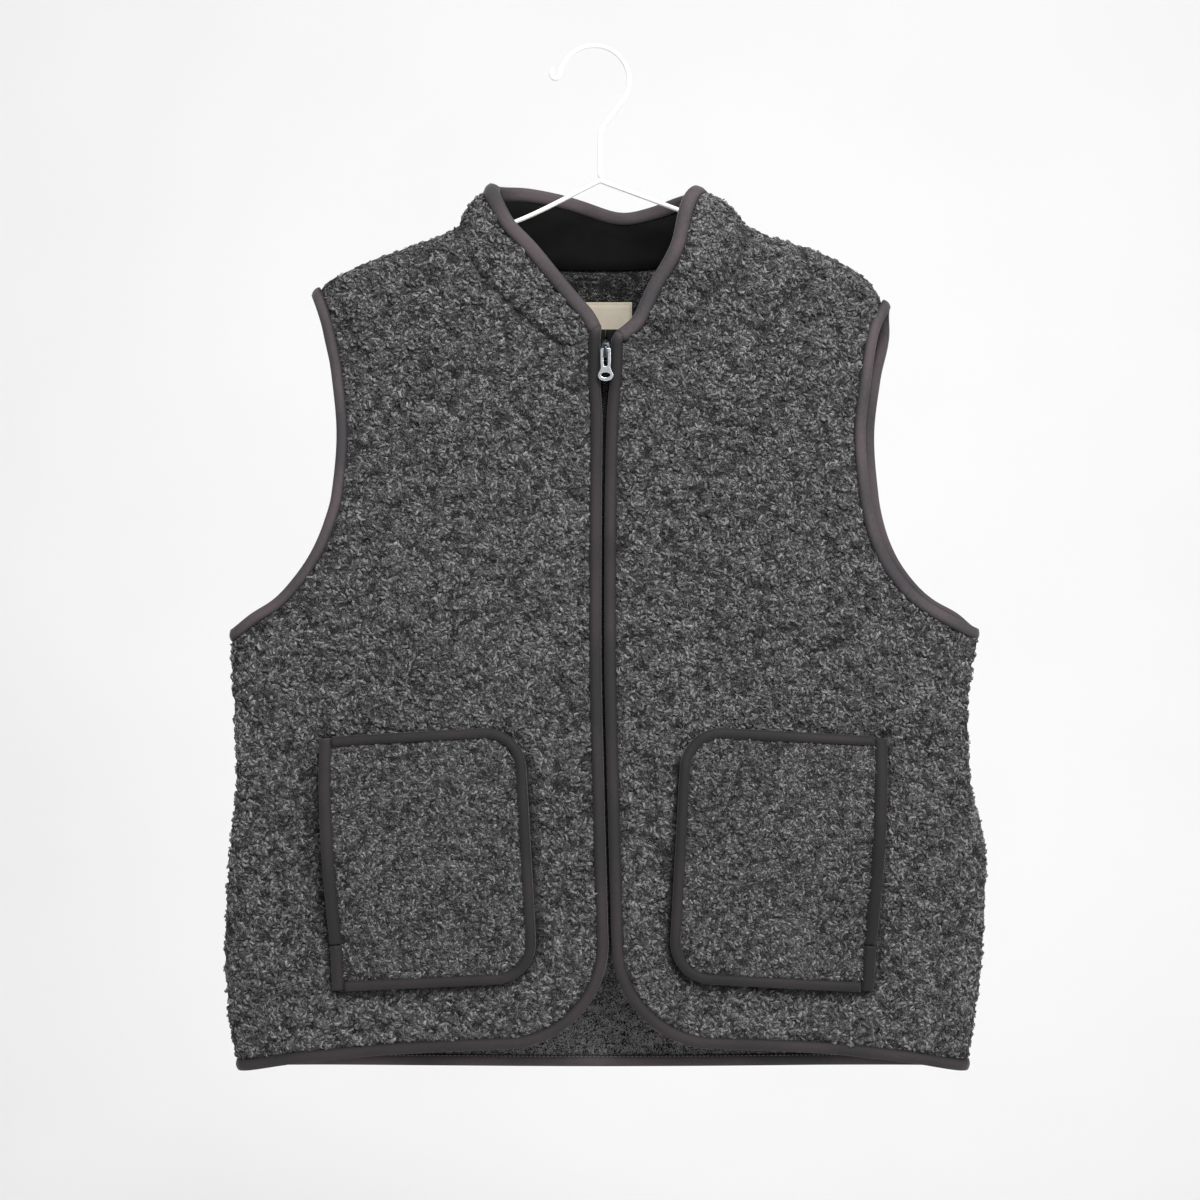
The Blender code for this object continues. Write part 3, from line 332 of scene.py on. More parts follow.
def fold_out(face: Array, x: Array, height: Array) -> Array:
    """How far the folds and creases move the cloth out.

    Args:
        face: front or back.
        x: places across.
        height: their heights.

    Returns:
        Distances out, which fade to nothing at the ridges.
    """
    out = np.zeros(np.broadcast(x, height).shape)
    for fold in FOLDS:
        lean = math.radians(fold.lean)
        dx, dz = x - fold.x, height - fold.height
        along = (dx * math.cos(lean) + dz * math.sin(lean)) / fold.along
        across = (dz * math.cos(lean) - dx * math.sin(lean)) / fold.across
        out = out + np.where(np.asarray(face) == fold.face, fold.out * np.exp(-along**2 - across**2), 0)
    share = np.abs(x) / half_width(x, height)
    return out * np.clip((1 - share) / RIDGE_FADE, 0, 1)


def cloth_points(across: Array, height: Array, face: Array) -> Array:
    """Points of the cloth's middle layer.

    Args:
        across: places from -1 at the -X ridge to 1 at the +X ridge.
        height: their heights.
        face: front or back.

    Returns:
        The points, in vest millimetres.
    """
    across, height = np.broadcast_arrays(np.asarray(across, float), np.asarray(height, float))
    x = across * half_width(across, height)
    ring = np.clip(1 - np.abs(across) ** ROUNDNESS, 0, 1) ** (1 / ROUNDNESS)
    depth = half_depth(face, height) * ring + fold_out(face, x, height)
    return np.stack((x, face * np.maximum(depth, 0), height), axis=-1)


def ring_level(points: Array) -> Array:
    """The ring formula's value: 1 on the middle layer, less inside the vest, more outside."""
    x, y, z = points[..., 0], points[..., 1], points[..., 2]
    face = np.where(y < 0, Face.FRONT, Face.BACK)
    depth = np.maximum(np.abs(y) - fold_out(face, x, z), 0)
    return (np.abs(x) / half_width(x, z)) ** ROUNDNESS + (depth / half_depth(face, z)) ** ROUNDNESS


def ring_slope(points: Array) -> Array:
    """The ring formula's slope, which points out of the cloth."""
    rises = [ring_level(points + step) - ring_level(points - step) for step in SLOPE_STEP * np.eye(3)]
    return np.stack(rises, axis=-1) / (2 * SLOPE_STEP)


def cloth_normals(points: Array) -> Array:
    """Directions out of the cloth at points of its middle layer."""
    return unit(ring_slope(points))


def onto_cloth(points: Array) -> Array:
    """The places on the middle layer nearest to points that are close to it."""
    for _ in range(3):
        slope = ring_slope(points)
        steep = np.sum(slope**2, axis=-1, keepdims=True)
        points = points - (ring_level(points) - 1)[..., None] * slope / steep
    return points


def unit(vectors: Array) -> Array:
    """Vectors with length 1."""
    return vectors / np.maximum(np.linalg.norm(vectors, axis=-1, keepdims=True), 1e-12)


def on_cloth(x: Array, height: Array) -> Array:
    """A plan position as (across, height)."""
    across = np.clip(x / half_width(x, height), -1, 1)
    return np.stack((across, np.broadcast_to(height, np.shape(x))), axis=-1)


def lengths_along(points: Array) -> Array:
    """Length from a line's first point to each of its points."""
    return np.concatenate(([0], np.cumsum(np.linalg.norm(np.diff(points, axis=0), axis=1))))


def between(at: Array, knots: Array, rows: Array) -> Array:
    """Rows of a table, read between its knots."""
    return np.stack([np.interp(at, knots, values) for values in rows.T], axis=-1)


def even_shares(points: Array, shares: Array) -> Array:
    """Points at shares of a line's length."""
    length = lengths_along(points)
    return between(shares * length[-1], length, points)


def every(points: Array, step: float) -> Array:
    """A line's points again, at even steps of about the given length."""
    count = max(2, round(lengths_along(points)[-1] / step))
    return even_shares(points, np.linspace(0, 1, count + 1))


def spread(shares: Array) -> Array:
    """Shares from 0 to 1, drawn closer to both ends."""
    return 0.5 - 0.5 * np.cos(shares * math.pi)


def fine_route(points: Sequence[tuple[float, float]]) -> Array:
    """A smooth plan curve through given points, with very many points near its ends."""
    points = np.array(points, float)
    knots = lengths_along(points)
    at = spread(spread(np.linspace(0, 1, FINE_STEPS))) * knots[-1]
    return np.stack((through(knots, points[:, 0], at), through(knots, points[:, 1], at)), axis=-1)


def shared_out(route: Array, face: Face, shares: Callable[[float], Array]) -> Array:
    """Places along a plan curve.

    Args:
        route: the curve.
        face: front or back.
        shares: gives the places' shares of the curve's length on the cloth, from that length.

    Returns:
        The places, as (across, height) rows.
    """
    places = on_cloth(route[:, 0], route[:, 1])
    length = lengths_along(cloth_points(places[:, 0], places[:, 1], face))
    return between(shares(length[-1]) * length[-1], length, places)


def patch(bottom: Array, top: Array, start: Array, end: Array, rise: Array) -> Array:
    """Fills the space inside four edges that meet at their corners.

    Args:
        bottom: the lower edge's places.
        top: the upper edge's, as many.
        start: the edge at the rows' start.
        end: the edge at the rows' end, as many places.
        rise: each row's share of the way up.

    Returns:
        Rows of places, blended from all four edges.
    """
    u = ((bottom[:, 0] - bottom[0, 0]) / (bottom[-1, 0] - bottom[0, 0]))[None, :, None]
    v = np.asarray(rise)[:, None, None]
    level = (1 - v) * bottom[None] + v * top[None] + (1 - u) * start[:, None] + u * end[:, None]
    corners = (1 - u) * (1 - v) * bottom[0] + u * (1 - v) * bottom[-1]
    corners = corners + (1 - u) * v * top[0] + u * v * top[-1]
    return level - corners


def ridge(side: Side, heights: Array) -> Array:
    """Places along a ridge."""
    return np.stack((np.full(len(heights), float(side)), np.asarray(heights, float)), axis=-1)


# The vest's edges, as plan curves

def front_edge_x(side: Side, height: Array) -> Array:
    """The cloth's front edge, behind its binding's fold."""
    half_gap = column(ZIP_LINE, "height", "half_gap", height)
    return column(ZIP_LINE, "height", "x", height) + side * (half_gap + TAPE + GAP)


def front_hem(side: Side) -> Array:
    """The front hem from the zip's foot round the corner to the side ridge."""
    start = front_edge_x(side, ZIP_FOOT)
    turn = np.radians(np.linspace(0, HEM_CORNER_TURN, 60))
    corner_x = start + side * HEM_CORNER_RADIUS * (1 - np.cos(turn))
    corner_z = ZIP_FOOT - HEM_CORNER_RADIUS * np.sin(turn)
    run = [(corner_x[-1], corner_z[-1])] + [(side * point.x, point.height) for point in HEM_RUN]
    run.append((side * half_width(side, HEM_SIDE), HEM_SIDE))
    corner = np.stack((corner_x, corner_z), axis=-1)
    return np.concatenate((corner[:-1], fine_route(run)))


def back_hem(side: Side) -> Array:
    """Half of the back hem, from the middle to the side ridge."""
    turn = spread(np.linspace(0, 1, FINE_STEPS)) * math.pi / 2
    height = HEM_BACK_MIDDLE + (HEM_SIDE - HEM_BACK_MIDDLE) * np.sin(turn) ** 2
    return np.stack((side * np.sin(turn) * half_width(side, height), height), axis=-1)


def armhole(side: Side, face: Face) -> Array:
    """An armhole's edge on one face, from the armpit to the shoulder tip."""
    extra = BACK_ARMHOLE_EXTRA[side] if face == Face.BACK else 0.0
    field = "minus_x" if side == Side.RIGHT else "plus_x"
    ends = [(side * half_width(side, height), height) for height in (ARMPIT[side], SHOULDER_TIP[side])]
    middle = [(side * (getattr(row, field) + extra), row.height) for row in reversed(ARMHOLE)]
    return fine_route([ends[0], *middle, ends[1]])


def front_neck_seam(side: Side) -> Array:
    """The seam between a front and the collar, from the zip to the shoulder."""
    middle = column(ZIP_LINE, "height", "x", ZIP_TOP)
    route = [(front_edge_x(side, ZIP_TOP), ZIP_TOP)]
    route += [(middle + side * point.x, point.height) for point in NECK_SEAM]
    route.append((side * half_width(side, NECK_SHOULDER), NECK_SHOULDER))
    return fine_route(route)


def back_neck_seam(side: Side) -> Array:
    """Half of the seam between the back and the collar, from the middle to the ridge."""
    share = np.sin(spread(np.linspace(0, 1, FINE_STEPS)) * math.pi / 2)
    height = BACK_NECK_MIDDLE + (NECK_SHOULDER - BACK_NECK_MIDDLE) * share**3
    return np.stack((side * share * half_width(side, NECK_SHOULDER), height), axis=-1)


def collar_front_edge(side: Side) -> Array:
    """The collar's free edge on the front, from the zip to the ridge."""
    route = [(side * point.x, point.height) for point in COLLAR_EDGE[side]]
    route.append((side * half_width(side, COLLAR_RIDGE[side]), COLLAR_RIDGE[side]))
    return fine_route(route)


def collar_back_edge(side: Side) -> Array:
    """Half of the collar's free edge on the back, from the middle to the ridge."""
    start = (0.0, float(column(COLLAR_BACK, "x", "height", 0.0)))
    end = (side * half_width(side, COLLAR_RIDGE[side]), COLLAR_RIDGE[side])
    middle = sorted((side * point.x, point.height) for point in COLLAR_BACK if side * point.x > 0)
    return fine_route([start, *[(side * x, height) for x, height in middle], end])


def edge_line(route: Array, face: Face, step: float = 3.0) -> Array:
    """A plan curve as points of the middle layer at even steps."""
    places = on_cloth(route[:, 0], route[:, 1])
    return every(cloth_points(places[:, 0], places[:, 1], face), step)


def joined(*lines: Array) -> Array:
    """Lines end to end, with the points that they share kept once."""
    return np.concatenate([lines[0], *[line[1:] for line in lines[1:]]])


# Meshes

def to_frame(points: Array) -> Array:
    """Vest millimetres as metres in the shared frame."""
    return (np.asarray(points) + np.array([VEST_X, 0.0, VEST_Z])) * MM


def store(mesh: Mesh, **values: Array) -> None:
    """Stores numbers, whole numbers or vectors at a mesh's points."""
    for key, numbers in values.items():
        numbers = np.asarray(numbers)
        whole = numbers.dtype.kind == "i"
        kind = "FLOAT_VECTOR" if numbers.ndim == 2 else "INT" if whole else "FLOAT"
        field = "vector" if numbers.ndim == 2 else "value"
        data = mesh.attributes.new(key, kind, "POINT").data
        data.foreach_set(field, numbers.astype(np.int32 if whole else np.float32).ravel())


def stored(mesh: Mesh, key: str) -> Array:
    """The numbers or vectors that are stored at a mesh's points under a name."""
    layer = mesh.attributes[key]
    width, field = (3, "vector") if layer.data_type == "FLOAT_VECTOR" else (1, "value")
    numbers = np.empty(len(layer.data) * width, np.float32)
    layer.data.foreach_get(field, numbers)
    return numbers.reshape(-1, 3) if width == 3 else numbers


def new_mesh(name: str, points: Array, faces: Sequence[Sequence[int]], **values: Array) -> Mesh:
    """A smooth mesh from vest points, with values stored at its points."""
    mesh = bpy.data.meshes.new(name)
    mesh.from_pydata(to_frame(points).tolist(), [], faces)
    mesh.shade_smooth()
    store(mesh, **values)
    return mesh


def faced_out(mesh: Mesh, merge: float = 0.0) -> Mesh:
    """The same closed mesh with its faces turned out, and with points within a distance made one."""
    body = bmesh.new()
    body.from_mesh(mesh)
    if merge:
        bmesh.ops.remove_doubles(body, verts=body.verts, dist=merge)
    bmesh.ops.recalc_face_normals(body, faces=body.faces)
    body.to_mesh(mesh)
    body.free()
    return mesh


def quads(corner: Array) -> Array:
    """The faces of a grid of point numbers."""
    around = corner[:-1, :-1], corner[:-1, 1:], corner[1:, 1:], corner[1:, :-1]
    return np.stack(around, axis=-1).reshape(-1, 4)


def tube_mesh(name: str, rings: Array, closed: bool, **values: Array) -> Mesh:
    """A closed body through rings of points.

    Args:
        name: the mesh's name.
        rings: the rings, each with its corners in order.
        closed: whether the last ring joins the first; otherwise both ends are capped.
        values: what is stored at the points.

    Returns:
        The mesh.
    """
    count, corners = rings.shape[:2]
    number = np.arange(count * corners).reshape(count, corners)
    number = np.concatenate((number, number[:, :1]), axis=1)
    if closed:
        number = np.concatenate((number, number[:1]), axis=0)
    faces = quads(number).tolist()
    if not closed:
        faces += [number[0, :-1].tolist(), number[-1, :-1][::-1].tolist()]
    return faced_out(new_mesh(name, rings.reshape(-1, 3), faces, **values))


class Grid(NamedTuple):
    """Middle-layer points in rows and columns, directions out, the outer wall's height and share of pile."""

    points: Array
    normals: Array
    out: Array
    mask: Array


def shell_mesh(name: str, grids: Sequence[Grid], inner: float, stride: int) -> Mesh:
    """A closed cloth shell: a dense outer wall and a coarser inner one, joined round the rim.

    Args:
        name: the mesh's name.
        grids: grids that face out; equal points of two grids become one.
        inner: how far the inner wall lies behind the middle layer.
        stride: steps of a grid in one step of the inner wall; it divides the grids' rows and columns.

    Returns:
        The mesh. Its points store rest (their middle-layer place in millimetres), out (their direction out),
        mask (their share of pile, 0 on the inner wall) and inside (1 on the inner wall).
    """
    flat = [np.concatenate([getattr(grid, key).reshape(-1, *getattr(grid, key).shape[2:]) for grid in grids])
            for key in Grid._fields]
    _, first, number = np.unique(np.round(flat[0], 3), axis=0, return_index=True, return_inverse=True)
    number = number.reshape(-1)
    points, normals, out, mask = [values[first] for values in flat]
    corners = []
    at = 0
    for grid in grids:
        size = grid.out.size
        corners.append(number[at:at + size].reshape(grid.out.shape))
        at += size
    outer = np.concatenate([quads(corner) for corner in corners])
    coarse = np.concatenate([quads(corner[::stride, ::stride]) for corner in corners])
    used = np.unique(coarse)
    behind = np.full(len(points), -1)
    behind[used] = len(points) + np.arange(len(used))
    faces = outer.tolist() + behind[coarse[:, ::-1]].tolist()
    chains: dict[frozenset, list[list[int]]] = {}
    for corner in corners:
        for side in (corner[0], corner[:, -1], corner[-1, ::-1], corner[::-1, 0]):
            for k in range(0, len(side) - 1, stride):
                chain = side[k:k + stride + 1].tolist()
                chains.setdefault(frozenset((chain[0], chain[-1])), []).append(chain)
    for found in chains.values():
        if len(found) == 1:
            chain = found[0]
            faces.append(chain[::-1] + [int(behind[chain[0]]), int(behind[chain[-1]])])
    bare = np.zeros(len(used))
    walls, rest, ways, masks, inside = [np.concatenate(pair) for pair in (
        (points + normals * out[:, None], points[used] - normals[used] * inner), (points, points[used]),
        (normals, -normals[used]), (mask, bare), (np.zeros(len(points)), bare + 1),
    )]
    return new_mesh(name, walls, faces, rest=rest, out=ways, mask=masks, inside=inside)


def edge_distance(points: Array, lines: Sequence[Array]) -> Array:
    """Distance from points to the nearest point of some lines."""
    if not lines:
        return np.full(points.shape[:-1], FAR_OFF)
    spots = np.concatenate([every(line, 1.2) for line in lines])
    tree = kdtree.KDTree(len(spots))
    for k, spot in enumerate(spots):
        tree.insert(spot, k)
    tree.balance()
    flat = [tree.find(point)[2] for point in points.reshape(-1, 3)]
    return np.array(flat).reshape(points.shape[:-1])


def smooth_step(low: float, high: float, values: Array) -> Array:
    """0 below low, 1 above high, and soft between."""
    t = np.clip((values - low) / (high - low), 0, 1)
    return t * t * (3 - 2 * t)


# Node types that are used often
MATH = "ShaderNodeMath"
VECTOR = "ShaderNodeVectorMath"
PARTS = "ShaderNodeSeparateXYZ"
NOISE = "ShaderNodeTexNoise"
RANGE = "ShaderNodeMapRange"
RAMP = "ShaderNodeValToRGB"
MIX = "ShaderNodeMix"
STORED = "ShaderNodeAttribute"
NAMED = "GeometryNodeInputNamedAttribute"


# Node trees

def placed(name: str, data: bpy.types.ID) -> Object:
    """A new object at the origin, linked to the scene."""
    thing = bpy.data.objects.new(name, data)
    bpy.context.scene.collection.objects.link(thing)
    return thing


def plain_mesh(name: str, thing: Object) -> Mesh:
    """The evaluated object as a plain mesh; the object itself is removed."""
    made = bpy.data.meshes.new_from_object(thing.evaluated_get(bpy.context.evaluated_depsgraph_get()))
    bpy.data.objects.remove(thing, do_unlink=True)
    made.name = name
    return made


def set_inputs(tree: Tree, node: Node, inputs: dict) -> None:
    """Links a node's inputs from sockets, or from other nodes' first outputs, or sets them to values."""
    for key, value in inputs.items():
        if isinstance(value, Node):
            value = value.outputs[0]
        if isinstance(value, Socket):
            tree.links.new(value, node.inputs[key])
        else:
            node.inputs[key].default_value = value


def add_node(tree: Tree, kind: str, inputs: dict | None = None, **settings: object) -> Node:
    """Adds a node to a geometry or shader tree.

    Args:
        tree: the tree.
        kind: the node's type.
        inputs: its inputs by name or number, as set_inputs takes them.
        settings: its properties; stops are a colour ramp's places and hex colours.

    Returns:
        The node.
    """
    node = tree.nodes.new(kind)
    stops = settings.pop("stops", ())
    for key, value in settings.items():
        setattr(node, key, value)
    while stops and len(node.color_ramp.elements) < len(stops):
        node.color_ramp.elements.new(0.5)
    for stop, (at, colour) in zip(node.color_ramp.elements if stops else (), stops):
        stop.position = at
        stop.color = linear(colour)
    set_inputs(tree, node, inputs or {})
    return node


def start_tree(name: str, **kinds: str) -> tuple[Tree, Node, dict[str, str]]:
    """Starts a geometry node tree.

    Args:
        name: the tree's name.
        kinds: its named inputs, besides the geometry and the material, with their sockets' kinds.

    Returns:
        The tree, its input node, and the identifier of each named input.
    """
    tree = bpy.data.node_groups.new(name, "GeometryNodeTree")
    for way in ("INPUT", "OUTPUT"):
        tree.interface.new_socket("Geometry", in_out=way, socket_type="NodeSocketGeometry")
    keys = {}
    for key, kind in {**kinds, "Material": "Material"}.items():
        keys[key] = tree.interface.new_socket(key, in_out="INPUT", socket_type=f"NodeSocket{kind}").identifier
    return tree, add_node(tree, "NodeGroupInput"), keys


def end_tree(tree: Tree, made: Node, given: Node) -> None:
    """Ends a geometry node tree with plain faces, in the material that its input node gives."""
    real = add_node(tree, "GeometryNodeRealizeInstances", {"Geometry": made})
    look = given.outputs["Material"]
    dressed = add_node(tree, "GeometryNodeSetMaterial", {"Geometry": real, "Material": look})
    add_node(tree, "NodeGroupOutput", {0: dressed})


def worked_out(name: str, mesh: Mesh, tree: Tree, inputs: dict[str, object]) -> Mesh:
    """Runs a geometry node tree on a mesh.

    Args:
        name: the new mesh's name.
        mesh: what the tree starts from.
        tree: the tree.
        inputs: its inputs' values, by their sockets' identifiers.

    Returns:
        What the tree makes, as a plain mesh.
    """
    mesh.name = f"{name} start"
    holder = placed(mesh.name, mesh)
    work = holder.modifiers.new(tree.name, "NODES")
    work.node_group = tree
    for key, value in inputs.items():
        work[key] = value
    return plain_mesh(name, holder)


def line_nodes(tree: Tree, wave: Node, sharp: float) -> Node:
    """Nodes for thin lines where a wave is at its middle: 1 on a line, 0 beside it, sooner if it is sharp."""
    off = add_node(tree, MATH, {0: wave, 1: 0.5}, operation="SUBTRACT")
    off = add_node(tree, MATH, {0: off}, operation="ABSOLUTE")
    return add_node(tree, MATH, {0: off, 1: -sharp, 2: 1.0}, operation="MULTIPLY_ADD", use_clamp=True)


def furrow_nodes(tree: Tree, place: Socket | Node, sharp: float) -> Node:
    """Nodes for short furrows between rows of curls, about 17 mm long and level.

    Args:
        tree: a geometry or shader node tree.
        place: middle-layer places in millimetres.
        sharp: how soon a furrow ends to its sides.

    Returns:
        A node that gives 1 in a furrow and 0 beside it.
    """
    flat = add_node(tree, VECTOR, {0: place, 1: (1 / 17, 1 / 17, 1 / 6)}, operation="MULTIPLY")
    wave = add_node(tree, NOISE, {"Vector": flat, "Scale": 1.0, "Detail": 2.0, "Distortion": 0.5})
    spot = add_node(tree, NOISE, {"Vector": place, "Scale": 1 / 14, "Detail": 1.0})
    here = add_node(tree, MATH, {0: spot, 1: 3.0, 2: -0.9}, operation="MULTIPLY_ADD", use_clamp=True)
    return add_node(tree, MATH, {0: line_nodes(tree, wave, sharp), 1: here}, operation="MULTIPLY")


def curl_nodes(tree: Tree, place: Socket | Node, clump: float | Socket) -> tuple[Node, Socket]:
    """Nodes for the wool's curls, the same in a mesh's relief and in its finish.

    Args:
        tree: a geometry or shader node tree.
        place: middle-layer places in millimetres.
        clump: a curl's size.

    Returns:
        The pile's height, 0 to 1, and a random number of each curl.
    """
    often = add_node(tree, MATH, {0: 1.0, 1: clump}, operation="DIVIDE")
    stir = add_node(tree, NOISE, {"Vector": place, "Scale": 0.3, "Detail": 2.0})
    shift = add_node(tree, VECTOR, {0: stir.outputs["Color"], 1: (0.5, 0.5, 0.5)}, operation="SUBTRACT")
    moved = add_node(tree, VECTOR, {0: shift, 1: (6.0, 6.0, 5.0), 2: place}, operation="MULTIPLY_ADD")
    wide = add_node(tree, VECTOR, {0: moved, 1: (0.76, 1.0, 1.0)}, operation="MULTIPLY")
    cells = add_node(tree, "ShaderNodeTexVoronoi", {
        "Vector": wide, "Scale": often, "Detail": 1.0, "Roughness": 0.5, "Lacunarity": 2.1, "Smoothness": 0.3,
    }, feature="SMOOTH_F1", normalize=True)
    curl = add_node(tree, RANGE, {
        "Value": cells.outputs["Distance"], "From Min": 0.62, "From Max": 0.12,
    }, interpolation_type="SMOOTHSTEP")
    random = add_node(tree, PARTS, {0: cells.outputs["Color"]})
    furrow = furrow_nodes(tree, place, 18.0)
    cut = add_node(tree, MATH, {0: furrow, 1: -0.6, 2: 1.0}, operation="MULTIPLY_ADD")
    return add_node(tree, MATH, {0: curl, 1: cut}, operation="MULTIPLY"), random.outputs["X"]


class WoolRaiser:
    """Raises a shell's pile with Geometry Nodes: curls move its outer wall out and are stored as pile."""

    def __init__(self) -> None:
        """Builds the node tree."""
        self.tree, given, self.keys = start_tree("Raise curls", Clump="Float", Deep="Float")
        rest, out, mask, pile = [
            add_node(self.tree, NAMED, {"Name": key}, data_type=kind)
            for key, kind in (("rest", "FLOAT_VECTOR"), ("out", "FLOAT_VECTOR"), ("mask", "FLOAT"),
                              ("pile", "FLOAT"))
        ]
        curl, _ = curl_nodes(self.tree, rest, given.outputs["Clump"])
        height = add_node(self.tree, MATH, {0: curl, 1: mask}, operation="MULTIPLY")
        kept = add_node(self.tree, "GeometryNodeStoreNamedAttribute", {
            "Geometry": given, "Name": "pile", "Value": height,
        }, data_type="FLOAT", domain="POINT")
        far = add_node(self.tree, MATH, {0: pile, 1: given.outputs["Deep"]}, operation="MULTIPLY")
        move = add_node(self.tree, VECTOR, {0: out, "Scale": far}, operation="SCALE")
        moved = add_node(self.tree, "GeometryNodeSetPosition", {"Geometry": kept, "Offset": move})
        end_tree(self.tree, moved, given)

    def raised(self, mesh: Mesh, clump: float, deep: float, finish: Material) -> Mesh:
        """The mesh with its pile raised by up to a depth in millimetres, in its finish."""
        return worked_out(mesh.name, mesh, self.tree, {
            self.keys["Clump"]: clump, self.keys["Deep"]: deep * MM, self.keys["Material"]: finish,
        })


class Places(NamedTuple):
    """Where copies of small shapes go: points in vest millimetres, frames, sizes, shapes and tones."""

    points: Array
    frames: Array
    sizes: Array
    kinds: Array
    tones: Array


def all_places(parts: Sequence[Places]) -> Places:
    """Several sets of places as one."""
    return Places(*[np.concatenate(values) for values in zip(*parts)])


def euler_turns(frames: Array) -> Array:
    """XYZ turns of frames whose columns are their axes."""
    return np.stack((
        np.arctan2(frames[:, 2, 1], frames[:, 2, 2]),
        -np.arcsin(np.clip(frames[:, 2, 0], -1, 1)),
        np.arctan2(frames[:, 1, 0], frames[:, 0, 0]),
    ), axis=-1)


class Repeater:
    """Sets copies of small shapes at given places with Geometry Nodes."""

    def __init__(self) -> None:
        """Builds the node tree."""
        self.tree, given, self.keys = start_tree("Set shapes at points", Shapes="Collection")
        shapes = add_node(self.tree, "GeometryNodeCollectionInfo", {
            "Collection": given.outputs["Shapes"], "Separate Children": True, "Reset Children": True,
        })
        kind, turn, size = [
            add_node(self.tree, NAMED, {"Name": key}, data_type=form)
            for key, form in (("kind", "INT"), ("turn", "FLOAT_VECTOR"), ("size", "FLOAT_VECTOR"))
        ]
        copies = add_node(self.tree, "GeometryNodeInstanceOnPoints", {
            "Points": given, "Instance": shapes, "Pick Instance": True, "Instance Index": kind,
            "Rotation": turn, "Scale": size,
        })
        end_tree(self.tree, copies, given)

    def mesh(self, name: str, shapes: Sequence[Mesh], places: Places, material: Material) -> Mesh:
        """One mesh of all the copies.

        Args:
            name: the new mesh's name.
            shapes: small closed meshes in metres round their own origin.
            places: where the copies go.
            material: what they are made of.

        Returns:
            The copies as a plain mesh, with tone stored at its points.
        """
        kit = bpy.data.collections.new(f"{name} shapes")
        for k, shape in enumerate(shapes):
            kit.objects.link(bpy.data.objects.new(f"{name} shape {k:02d}", shape))
        seeds = bpy.data.meshes.new(f"{name} places")
        seeds.from_pydata(to_frame(places.points).tolist(), [], [])
        store(seeds, turn=euler_turns(places.frames), size=places.sizes, kind=places.kinds, tone=places.tones)
        made = worked_out(name, seeds, self.tree, {self.keys["Shapes"]: kit, self.keys["Material"]: material})
        for shape in list(kit.objects):
            bpy.data.objects.remove(shape, do_unlink=True)
        bpy.data.collections.remove(kit)
        made.shade_smooth()
        return made


def strand_shape(name: str, path: Array, radius: float) -> Mesh:
    """A short three-sided strand that is pointed at both ends.

    Args:
        name: the mesh's name.
        path: its middle line in millimetres.
        radius: its radius in millimetres.

    Returns:
        The closed mesh, in metres.
    """
    along = unit(np.gradient(path, axis=0))
    side = unit(np.cross(along, np.array([0.13, 0.07, 1.0])))
    lift = np.cross(side, along)
    points = [path[0]]
    for k in range(1, len(path) - 1):
        for turn in np.radians((0, 120, 240)):
            points.append(path[k] + radius * (math.cos(turn) * side[k] + math.sin(turn) * lift[k]))
    points.append(path[-1])
    rings = len(path) - 2
    number = 1 + np.arange(rings * 3).reshape(rings, 3)
    number = np.concatenate((number, number[:, :1]), axis=1)
    last = len(points) - 1
    faces = quads(number).tolist()
    faces += [(0, number[0, k + 1], number[0, k]) for k in range(3)]
    faces += [(last, number[-1, k], number[-1, k + 1]) for k in range(3)]
    mesh = bpy.data.meshes.new(name)
    mesh.from_pydata((np.array(points) * MM).tolist(), [], [[int(n) for n in face] for face in faces])
    return faced_out(mesh)


def stitch_shape(name: str, length: float, thick: float) -> Mesh:
    """One stitch along x, in millimetres, that rises out of the cloth and goes back in."""
    t = np.linspace(-0.5, 0.5, 5)
    path = np.stack((length * t, 0 * t, 0.35 * thick - 2.2 * thick * t**2), axis=-1)
    return strand_shape(name, path, thick / 2)


def bar_shape(name: str, size: tuple[float, float, float], soft: float) -> Mesh:
    """A small bar along x with softened edges, for a zip tooth.

    Args:
        name: the mesh's name.
        size: its length, width and height in millimetres.
        soft: the width of its softened edges.

    Returns:
        The closed mesh, in metres.
    """
    body = bmesh.new()
    bmesh.ops.create_cube(body, size=1)
    for vert in body.verts:
        vert.co = Vector(np.array(vert.co) * size) * MM
    bmesh.ops.bevel(body, geom=body.edges[:], offset=soft * MM, segments=1, affect="EDGES", profile=0.5)
    mesh = bpy.data.meshes.new(name)
    body.to_mesh(mesh)
    body.free()
    return mesh


# Finishes

def linear(hex_colour: str) -> tuple[float, float, float, float]:
    """An sRGB hex colour as linear values."""
    srgb = [int(hex_colour[k:k + 2], 16) / 255 for k in (0, 2, 4)]
    return *[c / 12.92 if c <= 0.04045 else ((c + 0.055) / 1.055) ** 2.4 for c in srgb], 1.0


